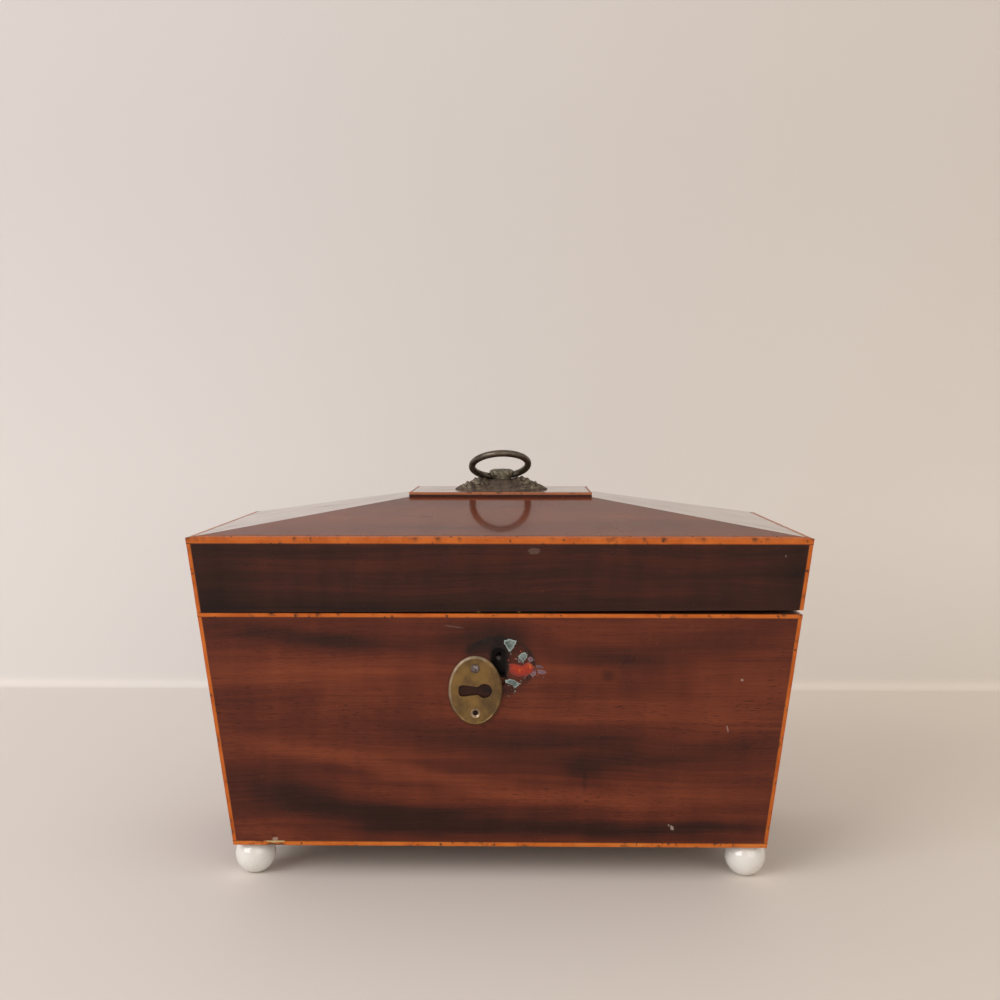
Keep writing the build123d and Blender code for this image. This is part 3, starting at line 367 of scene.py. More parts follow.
@dataclass(frozen=True)
class Veneer:
    """French-polished mahogany veneer outside and plain mahogany inside.

    The grain runs along X on the front, back and top, and along Y on the two ends. An inlay is
    given by its board's middle and half length along X, and its front and back along Y.
    """

    name: str
    outside: Outside
    tone: float = 0.5
    top_tone: float | None = None
    dark: tuple[Patch, ...] = ()
    chips: tuple[Patch, ...] = ()
    plate_ghost: Patch | None = None
    # Dark patches on the front: a real mark, a dark patch round the keyhole, and painted shade under
    # and beside the plate.
    dark_marks: tuple[Patch, ...] = ()
    shine: float = 0.16
    polish: float = 0.0
    inlay: tuple[float, float, float, float] | None = None
    line_inset: float = 7.0 * MM
    line_width: float = 0.6 * MM
    lid_dullness: float = 0.3
    polished: Stops = ((0.0, (0.014, 0.0062, 0.0050)), (0.22, (0.034, 0.0110, 0.0075)),
                       (0.48, (0.088, 0.0195, 0.0105)), (0.72, (0.160, 0.037, 0.0160)),
                       (1.0, (0.250, 0.073, 0.029)))
    plain: Stops = ((0.0, (0.060, 0.022, 0.012)), (0.5, (0.150, 0.056, 0.028)),
                    (1.0, (0.260, 0.110, 0.055)))
    pore: Colour = (0.013, 0.006, 0.005)
    plain_pore: Colour = (0.045, 0.018, 0.010)
    ghost: Colour = (0.013, 0.010, 0.009)
    # Colour of the dark patches: a real mark and painted shade.
    grime_and_shade: Colour = (0.010, 0.0065, 0.006)
    chipped: Colour = (0.40, 0.30, 0.25)
    line: Colour = (0.50, 0.27, 0.09)
    line_edge: Colour = (0.012, 0.008, 0.006)

    def material(self) -> bpy.types.Material:
        """Make the material.

        Returns:
            The material.
        """
        graph = Graph(self.name)
        place = graph.place()
        x, y, z = graph.split(place)
        nx, ny, nz = graph.split(graph.facing())
        end = graph.math("GREATER_THAN", graph.size(nx), graph.total(graph.size(ny), 0.02))
        flat = graph.math("GREATER_THAN", graph.size(nz), FACES_UP)
        along = self.either(graph, end, x, y)
        level = self.either(graph, end, y, x)
        across = self.either(graph, flat, z, level)
        sheet = graph.total(graph.times(nx, 3.1), graph.times(ny, 7.7), graph.times(nz, 11.3))
        grain = graph.join(along, across, sheet)
        wave = graph.sway(grain, (5.0, 16.0, 1.0))
        ripple = graph.sway(grain, (22.0, 90.0, 1.0))
        bent = graph.total(across, graph.times(wave, 0.022), graph.times(ripple, 0.0035))
        fibre = graph.join(along, bent, sheet)
        lines = graph.noise(fibre, (9.0, 420.0, 1.0), 3.0, 0.6)
        pores = graph.between(graph.noise(fibre, (190.0, 3000.0, 1.0), 1.0), 0.61, 0.72)
        dense = graph.between(graph.noise(grain, (9.0, 30.0, 1.0)), 0.40, 0.62, 0.25, 0.8)
        tone = graph.total(
            graph.times(graph.sway(fibre, (2.6, 62.0, 1.0), 4.0, 0.55), 0.66),
            graph.times(graph.less(lines, 0.5), 0.26),
            graph.times(graph.sway(fibre, (26.0, 2300.0, 1.0), 2.0, 0.7), 0.30),
            graph.times(graph.sway(grain, (85.0, 26.0, 1.0)), 0.20), self.tone)
        upward = graph.math("GREATER_THAN", nz, FACES_UP)
        if self.top_tone is not None:
            tone = graph.math("MULTIPLY_ADD", upward, self.top_tone - self.tone, tone)
        if self.dark:
            tone = graph.less(tone, self.figure(graph, place, ny, wave, ripple))
        outer = graph.mix(graph.times(pores, dense), graph.ramp(tone, self.polished), self.pore)
        inner = graph.mix(graph.times(pores, 0.45), graph.ramp(tone, self.plain), self.plain_pore)
        outer = self.marked(graph, place, ny, outer)
        if self.inlay is None:
            inside = self.depth(graph, x, y, z)
            colour = graph.mix(inside, outer, inner)
        else:
            inside = self.lid_dullness
            colour = self.inlaid(graph, outer, x, y)
        smear = graph.noise(place, 38.0, 4.0, 0.6)
        rough = graph.total(graph.between(smear, 0.35, 0.75, 0.17, 0.30), graph.times(inside, 0.22))
        sag = graph.bump(graph.noise(place, (34.0, 34.0, 34.0)), 0.00010)
        pitted = graph.bump(graph.less(1.0, pores), 0.000018, sag)
        fine = graph.bump(lines, 0.000035, pitted)
        graph.set(Base_Color=colour, Roughness=rough, Normal=fine, Specular_IOR_Level=self.shine,
                  Coat_Weight=graph.times(upward, self.polish), Coat_Roughness=0.07)
        return graph.material

    @staticmethod
    def either(graph: Graph, choose: Socket, first: Socket, second: Socket) -> Socket:
        """The first number where choose is 0 and the second where it is 1."""
        return graph.math("MULTIPLY_ADD", choose, graph.less(second, first), first)

    def figure(self, graph: Graph, place: Socket, ny: Socket, wave: Socket,
               ripple: Socket) -> Socket:
        """How much the front's streaks darken the wood, and below zero how much they redden it.

        Args:
            graph: The material's graph.
            place: Position on the piece.
            ny: The normal's Y.
            wave: Slow unevenness of the grain.
            ripple: Quick unevenness of the grain.

        Returns:
            The darkening.
        """
        x, _, z = graph.split(place)
        bent_z = graph.total(z, graph.times(wave, 0.022), graph.times(ripple, 0.010))
        on_front = graph.join(x, 0.0, bent_z)
        masks = [graph.times(graph.between(graph.spot(on_front, patch), 1.45, 0.05), patch.strength)
                 for patch in self.dark]
        return graph.times(graph.total(*masks), graph.between(ny, *ON_FRONT, 0.0, 0.88))

    def marked(self, graph: Graph, place: Socket, ny: Socket, colour: Socket) -> Socket:
        """The outside's colour with the plate's ghost, dark patches and chips on the front; most dark
        patches are painted shade under and beside the loose plate.

        Args:
            graph: The material's graph.
            place: Position on the piece.
            ny: The normal's Y.
            colour: The polished wood's colour.

        Returns:
            The marked colour.
        """
        front = graph.between(ny, *ON_FRONT)
        marks = []
        if self.plate_ghost is not None:
            away = graph.spot(graph.stretch(place, NO_DEPTH), self.plate_ghost)
            edge = graph.times(graph.between(away, 0.78, 1.0), graph.between(away, 1.12, 1.0))
            broken = graph.between(graph.noise(place, 75.0, 3.0), 0.42, 0.66, 0.05, 0.75)
            soft = graph.times(graph.between(away, 1.35, 0.75), 0.30)
            marks.append((graph.total(soft, graph.times(edge, broken)), self.ghost))
        # Dark patches: a real mark of the old plate, a dark patch round the keyhole, and painted
        # shade and a painted shadow at the plate.
        marks += [(graph.ragged(place, dark_patch, 260.0, 0.3, 1.35, 0.95), self.grime_and_shade)
                  for dark_patch in self.dark_marks]
        marks += [(graph.ragged(place, chip, 1500.0, 0.9, 1.5, 1.2), self.chipped)
                  for chip in self.chips]
        for mask, mark in marks:
            colour = graph.mix(graph.times(mask, front), colour, mark)
        return colour

    def depth(self, graph: Graph, x: Socket, y: Socket, z: Socket) -> Socket:
        """1 inside the caddy's tapered outside, and 0 on it.

        Args:
            graph: The material's graph.
            x: Position along X.
            y: Position along Y.
            z: Height.

        Returns:
            The mask.
        """
        taper = self.outside
        slope = graph.times(graph.less(taper.rim_height, z), taper.flare)
        room_x = graph.less(graph.less(taper.rim_half_length, slope), graph.size(x))
        room_y = graph.less(graph.less(taper.rim_half_depth, slope), graph.size(y))
        depth = graph.math("MINIMUM", room_x, room_y)
        above = graph.between(z, taper.rim_height - 1.2 * MM, taper.rim_height - 0.8 * MM)
        return graph.times(graph.between(depth, 0.3 * MM, 0.5 * MM), graph.less(1.0, above))

    def inlaid(self, graph: Graph, colour: Socket, x: Socket, y: Socket) -> Socket:
        """A pale line let in round a board's top, a set distance inside its edge.

        Args:
            graph: The material's graph.
            colour: The wood's colour.
            x: Position along X.
            y: Position along Y.

        Returns:
            The colour with the line.
        """
        middle, half_x, front, back = self.inlay
        off_middle = graph.size(graph.less(graph.size(x), middle))
        off_centre = graph.size(graph.less(y, (back + front) / 2))
        near_x = graph.less(half_x - self.line_inset, off_middle)
        near_y = graph.less((back - front) / 2 - self.line_inset, off_centre)
        depth = graph.size(graph.math("MINIMUM", near_x, near_y))
        for reach, full, tint in ((1.5, 1.3, self.line_edge), (1.0, 0.8, self.line)):
            mask = graph.between(depth, self.line_width * reach, self.line_width * full)
            colour = graph.mix(mask, colour, tint)
        return colour


@dataclass(frozen=True)
class Boxwood:
    """Orange, shellacked boxwood string with dark specks and dirt in its nicks and joints."""

    name: str = "boxwood_string"
    chip: Patch | None = None
    tone: float = -0.1
    dull: float = 0.0
    shine: float = 0.2
    honey: Stops = ((0.0, (0.215, 0.039, 0.006)), (0.35, (0.375, 0.076, 0.010)),
                    (0.65, (0.505, 0.122, 0.017)), (1.0, (0.610, 0.192, 0.035)))
    faded: Colour = (0.27, 0.125, 0.075)
    dirt: Colour = (0.035, 0.014, 0.008)
    bare: Colour = (0.46, 0.33, 0.15)

    def material(self) -> bpy.types.Material:
        """Make the material.

        Returns:
            The material.
        """
        graph = Graph(self.name)
        place = graph.place()
        run = graph.stored("grain").outputs["Vector"]
        worn = graph.stored("worn").outputs["Fac"]
        joint_face = graph.stored("joint").outputs["Fac"]
        fibre = graph.noise(run, (60.0, 2600.0, 2600.0), 3.0, 0.6)
        patchy = graph.noise(place, 70.0, 4.0, 0.6)
        tone = graph.total(graph.times(fibre, 0.45), graph.times(patchy, 0.75), self.tone)
        colour = graph.ramp(tone, self.honey)
        specks = graph.between(graph.noise(run, (420.0, 900.0, 900.0), 3.0, 0.55), 0.62, 0.69)
        dark_marks = graph.between(graph.noise(place, 130.0), 0.64, 0.72)
        seam = graph.between(joint_face, 0.72, 0.94)
        dirt = graph.math("MAXIMUM", graph.times(worn, 0.8), graph.times(seam, 0.8))
        spotted = graph.total(graph.times(specks, 0.8), graph.times(dark_marks, 0.45), dirt)
        dark = graph.math("MINIMUM", spotted, 0.92)
        if self.dull:
            colour = graph.mix(self.dull, colour, self.faded)
        colour = graph.mix(dark, colour, self.dirt)
        if self.chip is not None:
            bare = graph.ragged(place, self.chip, 900.0, 0.8, 1.5, 1.25)
            colour = graph.mix(bare, colour, self.bare)
        rough = graph.total(graph.between(patchy, 0.3, 0.7, 0.24, 0.38), graph.times(dark, 0.25))
        graph.set(Base_Color=colour, Roughness=rough, Normal=graph.bump(fibre, 0.00003),
                  Specular_IOR_Level=self.shine)
        return graph.material


@dataclass(frozen=True)
class Glaze:
    """White glazed earthenware with a cream cast, fine pits and a few hair cracks."""

    name: str = "white_glaze"
    cream: Stops = ((0.3, (0.70, 0.676, 0.632)), (0.7, (0.762, 0.744, 0.706)))
    crack: Colour = (0.42, 0.33, 0.22)
    pit: Colour = (0.30, 0.23, 0.16)

    def material(self) -> bpy.types.Material:
        """Make the material.

        Returns:
            The material.
        """
        graph = Graph(self.name)
        place = graph.place()
        cast = graph.noise(place, 90.0, 3.0)
        cracks = graph.between(graph.cells(place, 210.0, "DISTANCE_TO_EDGE"), 0.030, 0.004)
        some = graph.between(graph.noise(place, 60.0), 0.5, 0.62)
        pits = graph.between(graph.cells(place, 900.0), 0.16, 0.06)
        rare = graph.between(graph.noise(place, 260.0, 1.0), 0.6, 0.7)
        colour = graph.ramp(cast, self.cream)
        colour = graph.mix(graph.times(graph.times(cracks, some), 0.22), colour, self.crack)
        colour = graph.mix(graph.times(graph.times(pits, rare), 0.6), colour, self.pit)
        graph.set(Base_Color=colour, Roughness=graph.between(cast, 0.3, 0.7, 0.10, 0.18),
                  Normal=graph.bump(graph.noise(place, 150.0), 0.00012),
                  Coat_Weight=0.6, Coat_Roughness=0.04)
        return graph.material


@dataclass(frozen=True)
class Patina:
    """Old metal: a base tone, a darker tarnish, a bloom in its hollows and rubbed high spots, and
    where asked a painted shade that turns it near black below a height.
    """

    name: str
    base: Colour
    tarnish: Colour
    bloom: Colour
    rubbed: Colour
    metal: float = 0.85
    rough: tuple[float, float] = (0.34, 0.56)
    patch_scale: float = 160.0
    bump_height: float = 0.00010
    relief: bool = False
    hollow_bloom: float = 0.55
    # Height below which the metal is painted near black, as painted shade.
    shaded_below: float | None = None
    painted_shade_colour: Colour = (0.012, 0.009, 0.008)

    def material(self) -> bpy.types.Material:
        """Make the material.

        Returns:
            The material.
        """
        graph = Graph(self.name)
        place = graph.place()
        blotch = graph.noise(place, self.patch_scale, 5.0, 0.6)
        fine = graph.noise(place, self.patch_scale * 9.0, 4.0, 0.65)
        colour = graph.mix(graph.between(blotch, 0.40, 0.66), self.base, self.tarnish)
        colour = graph.mix(graph.between(fine, 0.60, 0.72, 0.0, 0.65), colour, self.tarnish)
        if self.relief:
            high = graph.stored("relief").outputs["Fac"]
            rub = graph.times(graph.between(high, 0.55, 0.95), 0.8)
            bloom = graph.times(graph.between(high, 0.40, 0.0),
                                graph.between(fine, 0.4, 0.6, 0.1, self.hollow_bloom))
        else:
            rub = graph.between(blotch, 0.42, 0.28, 0.0, 0.7)
            mould = graph.noise(place, self.patch_scale * 2.3, 3.0)
            bloom = graph.between(mould, 0.62, 0.74, 0.0, 0.5)
        colour = graph.mix(bloom, graph.mix(rub, colour, self.rubbed), self.bloom)
        # Painted shade: near black below the given height.
        if self.shaded_below is not None:
            height, black = graph.split(place)[2], self.shaded_below
            deep = graph.between(height, black, black - 2.0 * MM)
            colour = graph.mix(deep, colour, self.painted_shade_colour)
        rough = graph.total(graph.between(blotch, 0.3, 0.7, *self.rough), graph.times(bloom, 0.25))
        metal = graph.less(self.metal, graph.times(bloom, self.metal * 0.8))
        grit = graph.bump(fine, self.bump_height * 0.3, graph.bump(blotch, self.bump_height))
        graph.set(Base_Color=colour, Metallic=metal, Roughness=rough, Normal=grit)
        return graph.material


@dataclass(frozen=True)
class Foil:
    """Crumpled, tarnished lead foil that lines a tea compartment."""

    name: str = "tea_foil"
    lead: Stops = ((0.3, (0.20, 0.195, 0.185)), (0.55, (0.36, 0.35, 0.33)),
                   (0.8, (0.50, 0.485, 0.455)))
    tea_stain: Colour = (0.13, 0.095, 0.060)

    def material(self) -> bpy.types.Material:
        """Make the material.

        Returns:
            The material.
        """
        graph = Graph(self.name)
        place = graph.place()
        swirl = graph.noise(place, 26.0, 3.0)
        folds = graph.cells(place, 85.0, "DISTANCE_TO_EDGE")
        small = graph.cells(place, 260.0, "DISTANCE_TO_EDGE")
        dark_patch = graph.between(graph.noise(place, 60.0, 4.0, 0.6), 0.55, 0.75)
        colour = graph.mix(graph.times(dark_patch, 0.7), graph.ramp(swirl, self.lead), self.tea_stain)
        crease = graph.bump(graph.between(folds, 0.0, 0.22), 0.0007)
        crumple = graph.bump(graph.between(small, 0.0, 0.3), 0.00022, crease)
        graph.set(Base_Color=colour, Metallic=graph.between(dark_patch, 0.2, 0.9, 0.9, 0.35),
                  Roughness=graph.between(swirl, 0.3, 0.7, 0.36, 0.55), Normal=crumple)
        return graph.material


@dataclass(frozen=True)
class OldGlass:
    """Clear old glass with a grey-green cast, waves and fine scratches."""

    name: str = "bowl_glass"
    cast: Stops = ((0.3, (0.90, 0.95, 0.93)), (0.7, (0.97, 0.985, 0.97)))

    def material(self) -> bpy.types.Material:
        """Make the material.

        Returns:
            The material.
        """
        graph = Graph(self.name)
        place = graph.place()
        wear = graph.noise(place, 400.0, 4.0, 0.6)
        graph.set(Base_Color=graph.ramp(graph.noise(place, 35.0), self.cast),
                  Roughness=graph.between(wear, 0.55, 0.8, 0.015, 0.14),
                  Normal=graph.bump(graph.noise(place, 60.0), 0.00018), IOR=1.52,
                  Transmission_Weight=1.0)
        return graph.material


@dataclass(frozen=True)
class MarbledPaper:
    """Aged, marbled lining paper in dull red with dark veins and pale spots."""

    name: str = "marbled_paper"
    red: Stops = ((0.35, (0.17, 0.030, 0.024)), (0.5, (0.24, 0.060, 0.040)),
                  (0.65, (0.12, 0.028, 0.030)))
    vein: Colour = (0.030, 0.030, 0.040)
    pale_spot: Colour = (0.42, 0.30, 0.18)
    faded: Colour = (0.34, 0.22, 0.14)

    def material(self) -> bpy.types.Material:
        """Make the material.

        Returns:
            The material.
        """
        graph = Graph(self.name)
        place = graph.place()
        x, y, _ = graph.split(place)
        drift = graph.noise(place, 30.0, 3.0, 0.6, 2.5)
        swirled = graph.stretch(graph.join(drift, x, y), (0.03, 1.0, 1.0))
        veins = graph.between(graph.cells(swirled, 95.0, "DISTANCE_TO_EDGE"), 0.07, 0.02, 0.0, 0.85)
        colour = graph.mix(veins, graph.ramp(drift, self.red), self.vein)
        dots = graph.cells(graph.join(graph.times(drift, 0.02), x, y), 150.0)
        spots = graph.times(graph.between(dots, 0.26, 0.10), 0.35)
        colour = graph.mix(spots, colour, self.pale_spot)
        age = graph.noise(place, 14.0, 3.0)
        colour = graph.mix(graph.between(age, 0.45, 0.75, 0.0, 0.35), colour, self.faded)
        graph.set(Base_Color=colour, Roughness=graph.between(age, 0.3, 0.7, 0.66, 0.82),
                  Normal=graph.bump(graph.noise(place, 900.0, 3.0), 0.00006))
        return graph.material


@dataclass(frozen=True)
class Crust:
    """A rough deposit on the wood, with two tones and a grain."""

    name: str
    pale: Colour
    deep: Colour
    edge: Colour
    rough: float = 0.8
    scale: float = 700.0

    def material(self) -> bpy.types.Material:
        """Make the material.

        Returns:
            The material.
        """
        graph = Graph(self.name)
        place = graph.place()
        patchy = graph.noise(place, self.scale, 4.0, 0.6)
        drift = graph.noise(place, self.scale * 0.3)
        blend = graph.total(graph.times(patchy, 0.5), graph.times(drift, 0.5))
        colour = graph.mix(graph.between(blend, 0.42, 0.58), self.pale, self.deep)
        gaps = graph.cells(place, self.scale * 0.9, "DISTANCE_TO_EDGE")
        cracks = graph.times(graph.between(gaps, 0.10, 0.02), 0.55)
        colour = graph.mix(cracks, colour, self.deep)
        thin = graph.total(graph.stored("thin").outputs["Fac"], graph.times(patchy, 0.2))
        colour = graph.mix(graph.times(graph.between(thin, 0.72, 0.98), 0.9), colour, self.edge)
        rough = graph.between(patchy, 0.3, 0.7, self.rough - 0.15, self.rough)
        grain = graph.bump(graph.noise(place, self.scale * 1.6, 3.0), 0.00035)
        graph.set(Base_Color=colour, Roughness=rough, Normal=grain, Specular_IOR_Level=0.22)
        return graph.material


@dataclass(frozen=True)
class PalePaint:
    """Plain, pale, slightly warm paint for the floor and the wall, with painted shade that darkens
    the wall towards the top and a painted warm light that tints both towards the right.

    From behind it can be seen through, so that the back views show the caddy.
    """

    name: str = "pale_paint"
    wall: Colour = (0.720, 0.680, 0.656)
    wall_top_shaded: Colour = (0.610, 0.574, 0.560)
    floor: Colour = (0.805, 0.742, 0.695)
    painted_warm_light: Colour = (1.0, 0.975, 0.920)
    cloud: Colour = (0.4, 0.36, 0.33)

    def material(self) -> bpy.types.Material:
        """Make the material.

        Returns:
            The material.
        """
        graph = Graph(self.name)
        place = graph.place()
        side, _, height = graph.split(place)
        # Painted shade: the wall darkens towards the top.
        wall = graph.mix(graph.between(height, 0.03, 0.50), self.wall, self.wall_top_shaded)
        colour = graph.mix(graph.between(height, 0.0, 0.012), self.floor, wall)
        # Painted warm light: the paint turns warmer towards the right.
        colour = graph.mix(graph.between(side, -0.30, 0.45), colour, self.painted_warm_light, "MULTIPLY")
        faint = graph.between(graph.noise(place, 1.2, 3.0), 0.3, 0.7, 0.0, 0.03)
        graph.set(Base_Color=graph.mix(faint, colour, self.cloud), Roughness=0.62,
                  Specular_IOR_Level=0.25)
        behind = graph.times(graph.node("ShaderNodeNewGeometry").outputs["Backfacing"],
                             graph.node("ShaderNodeLightPath").outputs["Is Camera Ray"])
        clear = graph.node("ShaderNodeBsdfTransparent")
        either = graph.node("ShaderNodeMixShader")
        shaders = (behind, graph.shader.outputs[0], clear.outputs[0])
        for socket, value in zip(either.inputs, shaders):
            graph.feed(socket, value)
        graph.feed(graph.tree.nodes["Material Output"].inputs["Surface"], either.outputs[0])
        return graph.material


# ---- meshes


@dataclass
class Shape:
    """Points and faces of a mesh, with numbers kept on each point."""

    points: list[Vector] = field(default_factory=list)
    faces: list[tuple[int, ...]] = field(default_factory=list)
    numbers: dict[str, list[float]] = field(default_factory=dict)
    grain: list[Vector] = field(default_factory=list)

    @classmethod
    def of(cls, loops: Sequence[Sequence[Vector]], closed: bool = False,
           **numbers: list[float]) -> "Shape":
        """A shape of one set of rings.

        Args:
            loops: The rings, each with the same number of points.
            closed: Whether the last ring joins the first.
            **numbers: Numbers kept on the points.

        Returns:
            The shape.
        """
        made = cls(numbers=numbers)
        made.loops(loops, closed)
        return made

    def loops(self, loops: Sequence[Sequence[Vector]], closed: bool = False) -> None:
        """Add rings of points joined by quads.

        Args:
            loops: The rings, each with the same number of points.
            closed: Whether the last ring joins the first, instead of a face at each end.
        """
        start, count, size = len(self.points), len(loops), len(loops[0])
        for loop in loops:
            self.points.extend(loop)
        for row in range(count if closed else count - 1):
            first, second = start + row * size, start + (row + 1) % count * size
            for k in range(size):
                turn = (k + 1) % size
                self.faces.append((first + k, first + turn, second + turn, second + k))
        if not closed:
            self.faces.append(tuple(start + k for k in range(size - 1, -1, -1)))
            self.faces.append(tuple(start + (count - 1) * size + k for k in range(size)))

    def add(self, points: Iterable[Vector], faces: Iterable[Sequence[int]]) -> None:
        """Add the points and faces of another mesh.

        Args:
            points: Its points.
            faces: Its faces, numbered from its own first point.
        """
        start = len(self.points)
        self.points.extend(points)
        self.faces.extend(tuple(start + k for k in face) for face in faces)

    def keep(self, name: str, numbers: Sequence[float]) -> None:
        """Keep one more number for each new point."""
        self.numbers.setdefault(name, []).extend(numbers)

    def piece(self, name: str, finish: bpy.types.Material,
              crease: float = 38.0) -> bpy.types.Object:
        """Make the object.

        Args:
            name: Its name.
            finish: Its material.
            crease: Angle in degrees above which an edge stays sharp.

        Returns:
            The object.
        """
        mesh = bpy.data.meshes.new(name)
        mesh.from_pydata(self.points, [], self.faces)
        for key, values in self.numbers.items():
            mesh.attributes.new(key, "FLOAT", "POINT").data.foreach_set("value", values)
        if self.grain:
            flat = [part for point in self.grain for part in point]
            mesh.attributes.new("grain", "FLOAT_VECTOR", "POINT").data.foreach_set("vector", flat)
        whole = bmesh.new()
        whole.from_mesh(mesh)
        bmesh.ops.recalc_face_normals(whole, faces=whole.faces)
        whole.to_mesh(mesh)
        whole.free()
        mesh.shade_smooth()
        mesh.set_sharp_from_angle(angle=math.radians(crease))
        mesh.materials.append(finish)
        made = bpy.data.objects.new(name, mesh)
        bpy.context.scene.collection.objects.link(made)
        return made


def spokes(count: int) -> list[float]:
    """Evenly spaced angles round a full turn, from 0."""
    return [2 * math.pi * k / count for k in range(count)]


def settle(piece: bpy.types.Object, part: Part, slot: Slot, *nodes: str) -> bpy.types.Object:
    """Put a piece on its body and hide the CAD nodes that it stands for.

    Args:
        piece: The piece.
        part: The body that it moves with.
        slot: The record's slot for its finish; not used.
        *nodes: The CAD nodes that it stands for.

    Returns:
        The piece.
    """
    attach(piece, part.value)
    if nodes:
        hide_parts(*nodes)
    LOG.info("%s rides on %s", piece.name, part.value)
    return piece


def dress(finish: bpy.types.Material, *nodes: str) -> None:
    """Give CAD nodes a finish.

    Args:
        finish: The material.
        *nodes: The nodes.
    """
    for node in nodes:
        mesh = frame["nodes"][node].data
        mesh.materials.clear()
        mesh.materials.append(finish)
    LOG.info("%s on %s", finish.name, ", ".join(nodes))


# ---- boxwood strings


Dent = tuple[float, float, float]
Cut = tuple[list[Vector], Vector, Vector, Vector]
Heights = tuple[float, float]


@dataclass
class Bar:
    """One string with a worn outer arris.

    Its section at a share of its length gives the points of its first face, from the joint to the
    arris, then the arris, the joint of its second face and its hidden corner. A dent is a share of
    the length, a depth and a width.
    """

    section: Callable[[float], Cut]
    length: float
    seed: int
    dents: tuple[Dent, ...] = ()
    arris_round: float = 0.40 * MM
    step: float = 0.9 * MM
    dent_every: float = 16 * MM
    full_mark: float = 0.5 * MM

    def add_to(self, shape: Shape) -> None:
        """Add the bar to a shape.

        Args:
            shape: Where its points and faces go.
        """
        draw = random.Random(self.seed)
        dents = list(self.dents)
        for _ in range(int(self.length / self.dent_every)):
            dents.append((draw.random(), draw.uniform(0.1, 0.55) * MM, draw.uniform(0.4, 1.5) * MM))
        count = max(4, round(self.length / self.step))
        loops = []
        for row in range(count + 1):
            share = row / count
            place = share * self.length
            uneven = noise.noise(Vector((place * 140.0, self.seed * 1.7, 0.0)))
            dent = sum(depth * math.exp(-((share - at) * self.length / width) ** 2)
                       for at, depth, width in dents)
            face, arris, second, hidden = self.section(share)
            room = 0.8 * min((face[-1] - arris).length, (second - arris).length)
            reach = min(self.arris_round * (1.0 + 0.5 * uneven) + dent, max(room, 0.1 * MM))
            near = arris + (face[-1] - arris).normalized() * reach
            away = arris + (second - arris).normalized() * reach
            arc = [near.lerp(arris, t).lerp(arris.lerp(away, t), t)
                   for t in (0.0, 0.25, 0.5, 0.75, 1.0)]
            loop = [*face, *arc, second, hidden]
            loops.append(loop)
            mark = min(1.0, dent / self.full_mark)
            edge = mark * 0.6
            shape.keep("worn", [0.0] * len(face) + [edge, mark, mark, mark, edge, 0.0, 0.0])
            shape.keep("joint", [1.0] * len(face) + [0.0] * len(arc) + [1.0, 1.0])
            shape.grain.extend(Vector((place, k * 0.5 * MM, self.seed * 0.1))
                               for k in range(len(loop)))
        shape.loops(loops)


